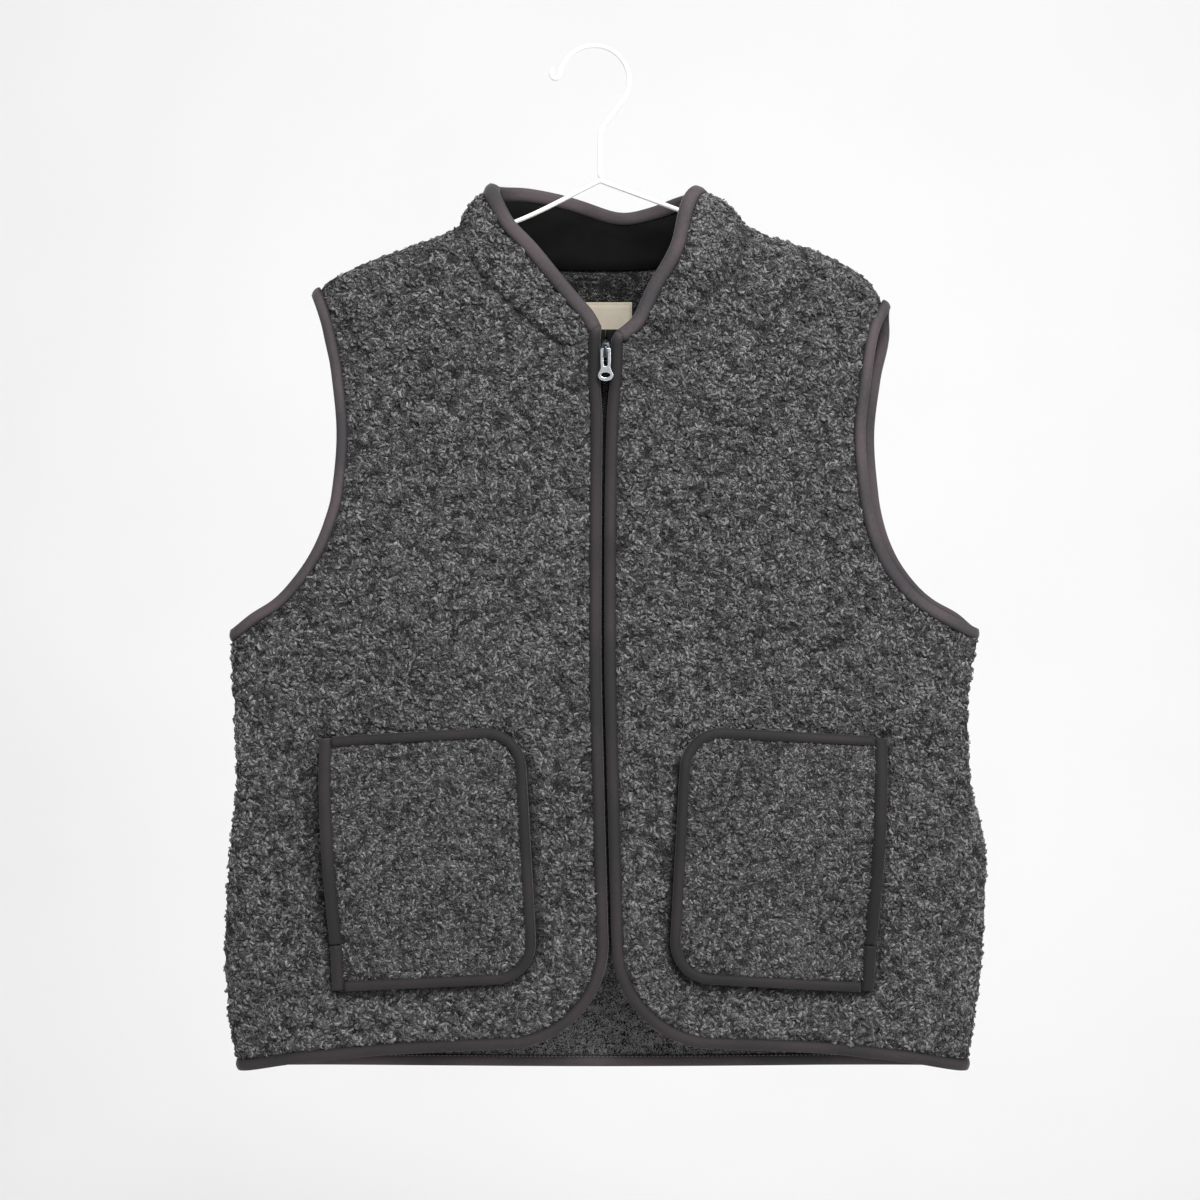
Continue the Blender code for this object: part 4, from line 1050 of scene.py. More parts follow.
class Painter:
    """Lays out a finish's shader nodes. mm gives places on the piece in millimetres."""

    def __init__(self, name: str) -> None:
        """Starts a material."""
        self.material = bpy.data.materials.new(name)
        self.material.use_nodes = True
        self.tree = self.material.node_tree
        place = self.add("ShaderNodeTexCoord").outputs["Object"]
        self.mm = self.add(VECTOR, {0: place, "Scale": 1000.0}, operation="SCALE")

    def add(self, kind: str, inputs: dict | None = None, **settings: object) -> Node:
        """Adds a node to the material."""
        return add_node(self.tree, kind, inputs, **settings)

    def hairs(self, size: float, swirl: float, sharp: float) -> Node:
        """Thin curled lines, 1 on a hair and 0 between, with loops of about a size in millimetres."""
        wave = self.add(NOISE, {"Vector": self.mm, "Scale": 1 / size, "Detail": 1.0, "Distortion": swirl})
        return line_nodes(self.tree, wave, sharp)

    def weighed(self, *parts: tuple[Socket | Node, float]) -> Node:
        """0.5 plus each value's distance from 0.5 times its weight."""
        total = None
        for value, weight in parts:
            start = 0.5 - weight / 2 if total is None else -weight / 2
            share = self.add(MATH, {0: value, 1: weight, 2: start}, operation="MULTIPLY_ADD")
            total = share if total is None else self.add(MATH, {0: total, 1: share}, operation="ADD")
        return total

    def finish(self, colour: Socket | Node, height: Node | None, depth: float, strength: float,
               **plain: float | Node) -> Material:
        """Closes the material.

        Args:
            colour: the surface's colour.
            height: its relief, or none.
            depth: how deep the relief is, in millimetres.
            strength: how strongly it shows.
            plain: values on the shader's sockets, with _ for a space, or a node to link.

        Returns:
            The material.
        """
        inputs = {"Base Color": colour, **{key.replace("_", " "): value for key, value in plain.items()}}
        if height is not None:
            inputs["Normal"] = self.add("ShaderNodeBump", {
                "Height": height, "Distance": depth * MM, "Strength": strength,
            })
        set_inputs(self.tree, self.tree.nodes["Principled BSDF"], inputs)
        return self.material


@dataclass(frozen=True)
class CurlyWool:
    """Boiled wool with a curly face: painted shade between curls, along furrows and beside pockets, pale
    where strands catch light.

    Single fibres are too fine to show, so hairs are drawn about ten times as thick as they are.
    """

    name: str = "curly_wool"
    clump: float = 5.6
    hair: float = 2.5
    cloud: float = 46.0
    dark: str = "0B0B0C"
    low: str = "222223"
    middle: str = "3C3C3C"
    pale: str = "7A7A79"
    # Strength of the painted shadow beside the pockets.
    gutter: float = 0.85

    def material(self) -> Material:
        """The finish as a material."""
        paint = Painter(self.name)
        place = paint.add(STORED, attribute_name="rest").outputs["Vector"]
        curl, random = curl_nodes(paint.tree, place, self.clump)
        coarse = paint.hairs(self.hair, 2.0, 9.0)
        fine = paint.hairs(0.6 * self.hair, 1.6, 7.0)
        grain = paint.add(NOISE, {"Vector": paint.mm, "Scale": 1 / 0.7, "Detail": 2.0, "Distortion": 0.8})
        cloud = paint.add(NOISE, {"Vector": paint.mm, "Scale": 1 / self.cloud, "Detail": 2.0})
        # Painted shade: the curl value darkens the gaps between curls and the furrows and lightens the curls'
        # tops; hairs, grain, random tone and clouds are the wool's own tone.
        value = paint.weighed(
            (curl, 0.5), (coarse, 0.4), (fine, 0.36), (grain, 0.7), (random, 0.12), (cloud, 0.1))
        face = paint.add(RAMP, {0: value}, stops=(
            (0.08, self.dark), (0.32, self.low), (0.55, self.middle), (1.0, self.pale)))
        # Painted shadow on the front's wool beside the pockets' edges, mixed towards the darkest wool colour.
        beside = paint.add(STORED, attribute_name="gutter").outputs["Fac"]
        shade = paint.add(MATH, {0: beside, 1: self.gutter}, operation="MULTIPLY")
        face = paint.add(MIX, {0: shade, 6: face, 7: linear(self.dark)}, data_type="RGBA").outputs[2]
        height = paint.add(PARTS, {0: place}).outputs["Z"]
        # Painted shade on the inner face: darker towards the neck, lighter towards the hem; the rest of the
        # felt mix is the inner face's own tone.
        worn = paint.add(RANGE, {"Value": height, "From Min": 520.0, "From Max": 60.0})
        felt = paint.weighed((coarse, 1.1), (curl, 0.7), (grain, 1.2), (worn, 0.66))
        inner = paint.add(RAMP, {0: felt}, stops=((0.26, "080809"), (0.6, "272728"), (1.0, "7E7E7D")))
        inside = paint.add(STORED, attribute_name="inside").outputs["Fac"]
        colour = paint.add(MIX, {0: inside, 6: face, 7: inner}, data_type="RGBA").outputs[2]
        relief = paint.weighed((curl, 1.3), (coarse, 0.5), (fine, 0.35))
        return paint.finish(
            colour, relief, 1.3, 0.9, Roughness=0.95, Specular_IOR_Level=0.05, Sheen_Weight=0.04,
            Sheen_Roughness=0.6)


@dataclass(frozen=True)
class WoolCurls:
    """Curled locks and loose hairs of wool: each has its own streaked grey, with painted shade from its place
    in the pile and painted shadow lines along furrows, and a few are nearly white.
    """

    name: str = "wool_curls"

    def material(self) -> Material:
        """The finish as a material."""
        paint = Painter(self.name)
        hair = paint.hairs(1.3, 1.6, 6.0)
        grain = paint.add(NOISE, {"Vector": paint.mm, "Scale": 1 / 0.6, "Detail": 1.0})
        cloud = paint.add(NOISE, {"Vector": paint.mm, "Scale": 1 / 46, "Detail": 2.0})
        place = paint.add(VECTOR, {0: paint.mm, 1: (-VEST_X, 0.0, -VEST_Z)}, operation="ADD")
        tone = paint.add(STORED, attribute_name="tone").outputs["Fac"]
        value = paint.weighed((tone, 1.0), (hair, 0.34), (grain, 0.75), (cloud, 0.08))
        # Painted shadow: darker lines along the furrows between rows of curls.
        furrow = furrow_nodes(paint.tree, place, 24.0)
        value = paint.add(MATH, {0: furrow, 1: -0.26, 2: value}, operation="MULTIPLY_ADD")
        colour = paint.add(RAMP, {0: value}, stops=(
            (0.02, "0C0C0D"), (0.28, "343434"), (0.6, "686868"), (1.0, "A6A5A4")))
        return paint.finish(
            colour, hair, 0.25, 0.6, Roughness=0.92, Specular_IOR_Level=0.06, Sheen_Weight=0.14,
            Sheen_Roughness=0.5)


@dataclass(frozen=True)
class BindingTape:
    """Soft folded jersey: dark grey with a slight purple-brown cast and satin on top, with painted shade at
    its rims and a darker painted-shade colour pair where a tape lies in shade.
    """

    name: str = "binding_tape"
    cool: str = "383638"
    warm: str = "4A4245"
    deep_cool: str = "1A1A1B"
    deep_warm: str = "211E1F"
    # Colour of the painted shade at the tape's rims.
    rim: str = "0C0B0C"

    def material(self) -> Material:
        """The finish as a material."""
        paint = Painter(self.name)
        cast = paint.add(NOISE, {"Vector": paint.mm, "Scale": 1 / 46, "Detail": 1.0})
        wear = paint.add(NOISE, {"Vector": paint.mm, "Scale": 1 / 2.2, "Detail": 2.0})
        knit = paint.add(NOISE, {"Vector": paint.mm, "Scale": 1 / 0.55, "Detail": 2.0})
        value = paint.weighed((cast, 1.0), (wear, 0.35))
        # The tape's colour when lit and its painted-shade colour, mixed by the stored shade value; the rims
        # then get painted shade.
        light, deep = [
            paint.add(RAMP, {0: value}, stops=((0.36, cool), (0.64, warm)))
            for cool, warm in ((self.cool, self.warm), (self.deep_cool, self.deep_warm))
        ]
        shade, rim = [paint.add(STORED, attribute_name=key).outputs["Fac"] for key in ("shade", "rim")]
        face = paint.add(MIX, {0: shade, 6: light, 7: deep}, data_type="RGBA").outputs[2]
        # Painted shade at the rims: the folded edge and the sewn feet are darkened.
        dark = paint.add(MATH, {0: rim, 1: 0.75}, operation="MULTIPLY")
        colour = paint.add(MIX, {0: dark, 6: face, 7: linear(self.rim)}, data_type="RGBA").outputs[2]
        return paint.finish(
            colour, knit, 0.12, 0.6, Roughness=0.7, Specular_IOR_Level=0.18, Sheen_Weight=0.16,
            Sheen_Roughness=0.4)


@dataclass(frozen=True)
class Woven:
    """Plain woven cloth or thread: one colour, a grain drawn coarser than real, and a soft or hard shine."""

    name: str
    dark: str
    light: str
    grain: float
    roughness: float
    depth: float = 0.1
    shine: float = 0.3

    def material(self) -> Material:
        """The finish as a material."""
        paint = Painter(self.name)
        warp, weft = [
            paint.add("ShaderNodeTexWave", {
                "Vector": paint.mm, "Scale": 1 / self.grain, "Distortion": 1.2, "Detail": 1.0,
            }, wave_type="BANDS", bands_direction=way).outputs["Fac"] for way in "XZ"
        ]
        weave = paint.add(MATH, {0: warp, 1: weft}, operation="MULTIPLY")
        cloud = paint.add(NOISE, {"Vector": paint.mm, "Scale": 1 / 9, "Detail": 2.0})
        both = paint.add(MATH, {0: weave, 1: cloud}, operation="ADD")
        value = paint.add(MATH, {0: both, 1: 0.5}, operation="MULTIPLY")
        colour = paint.add(RAMP, {0: value}, stops=((0.15, self.dark), (0.75, self.light)))
        return paint.finish(
            colour, weave, self.depth, 0.5, Roughness=self.roughness, Specular_IOR_Level=self.shine)


@dataclass(frozen=True)
class Metal:
    """Plated metal: bright with faint rubbing marks that break the shine."""

    name: str
    base: str
    worn: str
    roughness: float

    def material(self) -> Material:
        """The finish as a material."""
        paint = Painter(self.name)
        rub, haze, grain = [
            paint.add(NOISE, {"Vector": paint.mm, "Scale": 1 / size, "Detail": detail})
            for size, detail in ((2.6, 3.0), (0.8, 2.0), (0.5, 2.0))
        ]
        colour = paint.add(RAMP, {0: rub}, stops=((0.3, self.base), (0.75, self.worn)))
        rough = paint.add(MATH, {0: haze, 1: 0.16, 2: self.roughness - 0.08}, operation="MULTIPLY_ADD")
        return paint.finish(colour, grain, 0.02, 0.4, Roughness=rough, Metallic=1.0)


@dataclass(frozen=True)
class CoatedWire:
    """White plastic coat on wire: smooth, with a slight waviness and a faint grey wear."""

    name: str = "white_coated_wire"

    def material(self) -> Material:
        """The finish as a material."""
        paint = Painter(self.name)
        wear = paint.add(NOISE, {"Vector": paint.mm, "Scale": 1 / 14, "Detail": 2.0})
        wave = paint.add(NOISE, {"Vector": paint.mm, "Scale": 1 / 6, "Detail": 1.0})
        colour = paint.add(RAMP, {0: wear}, stops=((0.3, "F4F3F0"), (0.8, "EBEAE6")))
        return paint.finish(colour, wave, 0.08, 0.4, Roughness=0.34)


@dataclass(frozen=True)
class Plaster:
    """Pale matt stage paint with a very faint cloudiness."""

    name: str
    base: str
    cloud: str

    def material(self) -> Material:
        """The finish as a material."""
        paint = Painter(self.name)
        cloud = paint.add(NOISE, {"Vector": paint.mm, "Scale": 1 / 600, "Detail": 2.0})
        colour = paint.add(RAMP, {0: cloud}, stops=((0.3, self.base), (0.7, self.cloud)))
        return paint.finish(colour, None, 0.0, 0.0, Roughness=0.9, Specular_IOR_Level=0.1)


class Workshop:
    """Finishes, the node trees, and the handing of finished pieces to the frame."""

    def __init__(self) -> None:
        """Makes the trees and the finishes."""
        self.repeater = Repeater()
        self.raiser = WoolRaiser()
        self.wool = CurlyWool().material()
        self.pocket_wool = CurlyWool("pocket_wool", clump=4.4, hair=2.1).material()
        self.curls = WoolCurls().material()
        self.tape = BindingTape().material()
        self.cotton = Woven("black_cotton", "080808", "111111", 0.5, 0.9, shine=0.08).material()
        self.label = Woven("cream_label", "9C9485", "B0A99B", 0.45, 0.8, shine=0.1).material()
        self.zip_cloth = Woven("zip_cloth", "0B0B0B", "141414", 0.6, 0.8, shine=0.1).material()
        self.nylon = Woven("zip_nylon", "0C0C0C", "161616", 0.8, 0.38, 0.02).material()
        self.dark_thread = Woven("dark_thread", "232224", "343234", 0.4, 0.7).material()
        self.pale_thread = Woven("pale_thread", "64625F", "8A8885", 0.4, 0.8, shine=0.1).material()
        self.gunmetal = Metal("slider_gunmetal", "33363A", "55595E", 0.36).material()
        self.silver = Metal("pull_silver", "BFC2C8", "DADCE0", 0.24).material()
        self.wire = CoatedWire().material()

    def add(self, mesh: Mesh, material: Material, slot: str, *nodes: str, body: str = "vest") -> Object:
        """Hands a finished mesh to the frame.

        Args:
            mesh: the piece's mesh, in the shared frame; its name becomes the piece's.
            material: its finish.
            slot: the record's material slot.
            nodes: the CAD nodes that it stands for.
            body: the CAD body that it moves with.

        Returns:
            The piece.
        """
        piece = placed(mesh.name, mesh)
        if not mesh.materials:
            mesh.materials.append(material)
        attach(piece, body)
        if nodes:
            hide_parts(*nodes)
        mesh.calc_loop_triangles()
        LOG.info("%s: %d triangles", piece.name, len(mesh.loop_triangles))
        return piece

    def sew(self, name: str, rows: Sequence[Places], size: tuple[float, float], thread: Material,
            slot: str) -> Object:
        """Adds rows of stitches as one piece; size is a stitch's length and its thread's thickness."""
        made = self.repeater.mesh(name, [stitch_shape(f"{name} stitch", *size)], all_places(rows), thread)
        return self.add(made, thread, slot)


# Wool

@dataclass(frozen=True)
class Pile:
    """A wool's relief: clump size, the wall's height between clumps, its depth, and the locks' size."""

    clump: float = 5.6
    low: float = 0.8
    deep: float = 2.4
    size: float = 1.0


@dataclass(frozen=True)
class Nap:
    """How pile lies down beside a line: its share there, and where it starts to rise and is whole again."""

    left: float
    start: float
    whole: float

    def share(self, distance: Array) -> Array:
        """The pile's share at a distance from the line."""
        return self.left + (1 - self.left) * smooth_step(self.start, self.whole, distance)


class Lock(NamedTuple):
    """A lock or a hair: length, sideways bend, half waves of the bend, radius, and its share of all."""

    length: float
    bend: float
    waves: float
    radius: float
    share: float


@dataclass(frozen=True)
class PanelSteps:
    """How finely a panel is divided. All are multiples of the inner wall's stride."""

    level: int
    foot: int
    below: int
    edge: int
    neck: int


AT_SEAM = Nap(0.35, 0.4, 5.0)
AT_RIDGE = Nap(0.15, 0.0, 15.0)
BESIDE_POCKET = Nap(0.12, 3.0, 8.0)
RIDGE_DROP = 1.3
RIDGE_WIDTH = 9.0
# Width of the painted shadow beside the pockets.
POCKET_SHADOW_WIDTH = 3.4
INNER_WALL_IN = 0.4

# Six thick locks, from a slight bend to a hook, then two thin hairs that stand off them
LOCKS = [
    Lock(5.0, 1.5, 1.0, 1.25, 0.16),
    Lock(6.0, 2.1, 1.0, 1.15, 0.16),
    Lock(5.4, 1.2, 2.0, 1.1, 0.16),
    Lock(4.2, 2.2, 1.0, 1.15, 0.16),
    Lock(6.4, 1.3, 2.0, 1.05, 0.16),
    Lock(3.8, 1.0, 1.0, 1.35, 0.16),
    Lock(5.6, 1.2, 1.0, 0.28, 0.02),
    Lock(4.6, 0.8, 2.0, 0.24, 0.02),
]
FIRST_HAIR = 6
HAIR_STAND = 0.8
HAIR_PALER = 0.16
LOCK_ARCH = 0.9
LOCK_SUNK = 0.6
LOCK_LEAN = 0.22
LOCK_SIZES = (0.7, 1.2)
LOCK_FLAT = 0.62
LOCK_TONE = (0.455, 0.05)
LOCK_TONE_LIMITS = (0.02, 0.75)
# How much painted shade a lock gets from the pile's height: darker in hollows, lighter on tops.
PAINTED_SHADE_BY_PILE = 0.4
MIDDLE_PILE = 0.55
BARE_PILE = 0.1

STRIDE = 4
FRONT_STEPS = PanelSteps(level=100, foot=12, below=124, edge=64, neck=56)
BACK_STEPS = PanelSteps(level=88, foot=8, below=108, edge=72, neck=36)


def half_panel(side: Side, face: Face, steps: PanelSteps) -> list[Array]:
    """Points of a front, or of half the back.

    Args:
        side: which side.
        face: front or back.
        steps: how finely it is divided.

    Returns:
        Two grids of points: below the armhole's foot and above it.
    """
    fore = face == Face.FRONT
    hem_route, neck_route = (front_hem, front_neck_seam) if fore else (back_hem, back_neck_seam)
    low, high = (ZIP_FOOT, ZIP_TOP) if fore else (HEM_BACK_MIDDLE, BACK_NECK_MIDDLE)

    def inner(heights: Array) -> Array:
        """Places on the panel's edge at the zip, or on the back's middle line."""
        return on_cloth(front_edge_x(side, heights) if fore else np.zeros_like(heights), heights)

    def to_ridge(length: float) -> Array:
        """Shares of the hem's length: even steps up to the armhole's foot, and from there to the ridge."""
        turn = 1 - ARMHOLE_FOOT / length
        level, foot = np.linspace(0, turn, steps.level + 1), np.linspace(turn, 1, steps.foot + 1)
        return np.concatenate((level, foot[1:]))

    rows = steps.edge + steps.neck
    hem = shared_out(hem_route(side), face, to_ridge)
    hole = armhole(side, face)
    foot = shared_out(hole, face, lambda length: np.linspace(0, ARMHOLE_FOOT / length, steps.foot + 1))
    upper = shared_out(hole, face, lambda length: np.linspace(ARMHOLE_FOOT / length, 1, rows + 1))
    seam = shared_out(neck_route(side), face, lambda _: np.linspace(0, 1, steps.neck + 1))
    start = inner(np.array([FOOT_LEVEL]))[0]
    level = start + (foot[-1] - start) * np.linspace(0, 1, steps.level + 1)[:, None]
    rise = np.linspace(0, 1, steps.below + 1)
    below = patch(
        hem, np.concatenate((level, foot[-2::-1])), inner(low + (FOOT_LEVEL - low) * rise),
        ridge(side, HEM_SIDE + (ARMPIT[side] - HEM_SIDE) * rise), rise,
    )
    neck_side = np.concatenate((inner(np.linspace(FOOT_LEVEL, high, steps.edge + 1))[:-1], seam))
    shoulder = ridge(side, np.linspace(NECK_SHOULDER, SHOULDER_TIP[side], steps.level + 1))
    above = patch(level, shoulder, neck_side, upper, np.linspace(0, 1, rows + 1))
    return [cloth_points(np.clip(grid[..., 0], -1, 1), grid[..., 1], face) for grid in (below, above)]


@dataclass
class WoolPiece:
    """A wool shell with its curled locks. Its pile lies down at bound, sewn, ridge and pocket lines."""

    shop: Workshop
    name: str
    grids: list[Array]
    bound: Sequence[Array]
    sewn: Sequence[Array]
    flat: tuple[float, float]
    area: float
    curls: int
    seed: int
    finish: Material
    pile: Pile = Pile()
    wall: float = WOOL
    reach: float = BINDING_REACH
    normals: Sequence[Array] = ()
    under: Sequence[Array] = ()
    ridges: Sequence[Array] = ()
    rests_on: tuple[str, ...] = ("hanger_arms",)

    def build(self) -> None:
        """The shell and its curls."""
        at_tape = Nap(0.0, self.reach - 1.4, self.reach + 1.0)
        naps = (
            (at_tape, self.bound), (AT_SEAM, self.sewn), (AT_RIDGE, self.ridges), (BESIDE_POCKET, self.under),
        )
        grids = []
        for k, points in enumerate(self.grids):
            normals = self.normals[k] if self.normals else cloth_normals(points)
            mask = np.ones(points.shape[:-1])
            for nap, lines in naps:
                mask *= nap.share(edge_distance(points, lines))
            drop = RIDGE_DROP * np.exp(-((edge_distance(points, self.ridges) / RIDGE_WIDTH) ** 2))
            grids.append(Grid(points, normals, self.pile.low - drop, mask))
        mesh = shell_mesh(f"{self.name}_wool", grids, self.wall / 2 - INNER_WALL_IN, STRIDE)
        # Painted shadow beside the pockets' edges, stored for the finish.
        near = edge_distance(stored(mesh, "rest"), self.under)
        store(mesh, gutter=np.exp(-((near / POCKET_SHADOW_WIDTH) ** 2)))
        mesh = self.shop.raiser.raised(mesh, self.pile.clump, self.pile.deep, self.finish)
        loose = self.dress(mesh)
        piece = self.shop.add(mesh, self.finish, "curly_wool", self.name)

    def dress(self, mesh: Mesh) -> Object:
        """Lays curled locks on the shell, and a few pale hairs that stand off it.

        Args:
            mesh: the shell with its pile raised.

        Returns:
            The locks' piece.
        """
        rng = np.random.default_rng(self.seed)
        count = self.curls
        points = stored(mesh, "position").astype(float) / MM - np.array([VEST_X, 0.0, VEST_Z])
        pile = stored(mesh, "pile")
        dense = sum((grid.shape[0] - 1) * (grid.shape[1] - 1) for grid in self.grids)
        corners = np.array([mesh.polygons[k].vertices[:] for k in range(dense)], np.int32)
        one, two, three, four = [points[corners[:, k]] for k in range(4)]
        facing = np.cross(three - one, four - two)
        thick = np.clip(pile[corners].mean(axis=1) - BARE_PILE, 0, 1) ** 0.7
        share = np.cumsum(np.linalg.norm(facing, axis=1) * thick)
        chosen = np.searchsorted(share, (np.arange(count) + rng.random(count)) / count * share[-1])
        u, v = rng.random((2, count, 1))
        roots = (one[chosen] * (1 - u) + two[chosen] * u) * (1 - v)
        roots = roots + (four[chosen] * (1 - u) + three[chosen] * u) * v
        lean = unit(unit(facing[chosen]) + LOCK_LEAN * rng.normal(size=(count, 3)))
        along = unit(np.cross(lean, rng.normal(size=(count, 3))))
        frames = np.stack((along, np.cross(lean, along), lean), axis=-1)
        size = self.pile.size * rng.uniform(*LOCK_SIZES, count)
        kinds = rng.choice(len(LOCKS), count, p=[lock.share for lock in LOCKS])
        # Painted shade: locks low in the pile are darker, locks high on it lighter.
        tones = rng.normal(*LOCK_TONE, count) + PAINTED_SHADE_BY_PILE * (pile[corners[chosen, 0]] - MIDDLE_PILE)
        tones = np.clip(tones, *LOCK_TONE_LIMITS)
        tones[kinds >= FIRST_HAIR] += HAIR_PALER
        places = Places(roots, frames, size[:, None] * np.array([1.0, 1.0, LOCK_FLAT]), kinds, tones)
        made = self.shop.repeater.mesh(f"{self.name}_curls", self.shapes(), places, self.shop.curls)
        return self.shop.add(made, self.shop.curls, "curly_wool")

    @staticmethod
    def shapes() -> list[Mesh]:
        """The locks and hairs as small meshes."""
        shapes = []
        t = np.linspace(0, 1, 4)
        for k, lock in enumerate(LOCKS):
            rise = LOCK_ARCH * np.sin(math.pi * t) - LOCK_SUNK + HAIR_STAND * (k >= FIRST_HAIR)
            bend = lock.bend * np.sin(math.pi * lock.waves * t)
            path = np.stack((lock.length * (t - 0.5), bend, rise), axis=-1)
            shapes.append(strand_shape(f"curl {k}", path, lock.radius))
        return shapes


# Bindings

class Leg(NamedTuple):
    """A place on a tape's leg: its share of the way from foot to edge, rise in tapes, and how much painted
    shade it gets.
    """

    share: float
    rise: float
    rim: float


# The last column is painted shade: darkest at the sewn foot, none at the leg's middle.
LEGS = [
    Leg(0.0, -0.6, 1.0),
    Leg(0.06, 0.25, 0.8),
    Leg(0.24, 1.2, 0.25),
    Leg(0.5, 1.75, 0.0),
    Leg(0.78, 1.6, 0.1),
]
FOLD_TURNS = np.radians((64, 38, 12, -12, -38, -64))
INNER_FOLD_TURNS = np.radians((-35, 35))
INNER_SHARES = (0.0, 0.45, 0.9)
PUFF_LENGTH = 11.0
# Painted shade along a front tape by length: light at the collar, darkest near the slider, a little lighter
# further down.
FRONT_SHADES = ((0.0, 0.2), (7.0, 1.0), (30.0, 1.0), (90.0, 0.72))


@dataclass
class Tape:
    """A tape folded round an edge of cloth.

    points and normals run along the edge; foots and foot_normals are where the legs end, further in. shades
    is a table of painted shade along the tape, 0 to 1, by length from its first point; foot_rim is how much
    painted shade it gets at its legs' ends.
    """

    shop: Workshop
    name: str
    points: Array
    normals: Array
    foots: Array
    foot_normals: Array
    wall: float
    closed: bool = False
    shades: Sequence[tuple[float, float]] = ((0.0, 0.0),)
    foot_rim: float = 1.0

    def leg(self, share: float | Array, side: int, height: float | Array) -> tuple[Array, Array]:
        """A line at a share of the outer leg (1) or the inner one (-1), and the directions out there."""
        out = side * unit(self.foot_normals * (1 - share) + self.normals * share)
        return self.foots * (1 - share) + self.points * share + out * height, out

    def rings(self) -> tuple[Array, list[float]]:
        """Closed profiles along the edge, outer skin first, then the inner one back, and the corners' painted
        shade.
        """
        near = self.wall / 2 + FOLD_GAP
        under = near - 0.5
        inward = unit(self.foots - self.points)
        puff = np.array([
            [noise.noise((s / PUFF_LENGTH, 0.3, len(self.name) * 1.7))] for s in lengths_along(self.points)
        ])
        # Painted shade at the corners: from the legs' table, darker towards the fold's outermost edge, and
        # full on the hidden inner rings.
        rims = [leg.rim * self.foot_rim for leg in LEGS]
        rims += [*(np.cos(FOLD_TURNS) ** 2), *reversed(rims), *[1.0] * 8]
        rings = [self.leg(leg.share, 1, near + TAPE * leg.rise * (1 + 0.22 * puff))[0] for leg in LEGS]
        for turn in FOLD_TURNS:
            high = (near + TAPE * 1.35) * math.sin(turn)
            rings.append(self.points - inward * (0.1 + 1.3 * math.cos(turn)) + self.normals * high)
        for leg in reversed(LEGS):
            rings.append(self.leg(leg.share, -1, near + TAPE * 0.7 * leg.rise * (1 - 0.18 * puff))[0])
        behind = [(share, under + (0.35 if share else 0.0)) for share in INNER_SHARES]
        rings += [self.leg(share, -1, height)[0] for share, height in behind]
        for turn in INNER_FOLD_TURNS:
            ring = self.points - inward * (0.55 * math.cos(turn))
            rings.append(ring + self.normals * under * math.sin(turn))
        rings += [self.leg(share, 1, height)[0] for share, height in reversed(behind)]
        return np.stack(rings, axis=1), rims

    def build(self) -> None:
        """The tape."""
        rings, rims = self.rings()
        # Painted shade along the tape, from its table by length.
        shade = np.interp(lengths_along(self.points), *zip(*self.shades))
        mesh = tube_mesh(
            f"{self.name}_fold", rings, self.closed, rim=np.tile(rims, len(rings)),
            shade=np.repeat(shade, rings.shape[1]),
        )
        piece = self.shop.add(mesh, self.shop.tape, "binding_tape", self.name)

    def stitches(self, side: int, seed: int, pitch: float = 3.1, inset: float = 0.5,
                 rise: float = 0.25) -> Places:
        """Places of stitches along the outer leg (1) or the inner one (-1), inset from its foot."""
        share = inset / np.linalg.norm(self.foots - self.points, axis=1, keepdims=True)
        return stitch_places(*self.leg(share, side, self.wall / 2 + FOLD_GAP + rise), pitch, seed)


def stitch_places(line: Array, out: Array, pitch: float, seed: int) -> Places:
    """Stitches along a line, one after the other, slightly uneven.

    Args:
        line: the line's points.
        out: directions out of the cloth there.
        pitch: from one stitch to the next.
        seed: for their unevenness.

    Returns:
        Their places.
    """
    rng = np.random.default_rng(seed)
    length = lengths_along(line)
    count = max(2, int(length[-1] / pitch))
    shares = (np.arange(count) + 0.5) / count
    ups = unit(between(shares * length[-1], length, out))
    after, before = [even_shares(line, np.clip(shares + step, 0, 1)) for step in (0.002, -0.002)]
    ahead = unit(unit(after - before) + 0.05 * rng.normal(size=after.shape))
    across = unit(np.cross(ups, ahead))
    frames = np.stack((ahead, across, np.cross(ahead, across)), axis=-1)
    sizes = np.repeat(rng.uniform(0.9, 1.1, (count, 1)), 3, axis=1)
    return Places(even_shares(line, shares), frames, sizes, np.zeros(count, int), rng.random(count))


def cloth_tape(shop: Workshop, name: str, line: Array, toward: Sequence[float], at: int, closed: bool = False,
               reach: float = BINDING_REACH) -> Tape:
    """A tape round an edge of the vest's cloth.

    Args:
        shop: the workshop.
        name: the CAD node's name.
        line: points of the middle layer along the edge.
        toward: a direction that points into the cloth at one point of the line.
        at: that point's number.
        closed: whether the line is a loop.
        reach: how far its legs reach in from the edge.

    Returns:
        The tape, not yet built.
    """
    normals = cloth_normals(line)
    if closed:
        ahead = unit(np.roll(line, -1, axis=0) - np.roll(line, 1, axis=0))
    else:
        ahead = unit(np.gradient(line, axis=0))
    inward = unit(np.cross(normals, ahead))
    if np.dot(inward[at], toward) < 0:
        inward = -inward
    foots = onto_cloth(line + inward * reach)
    return Tape(shop, name, line, normals, foots, cloth_normals(foots), WOOL, closed)


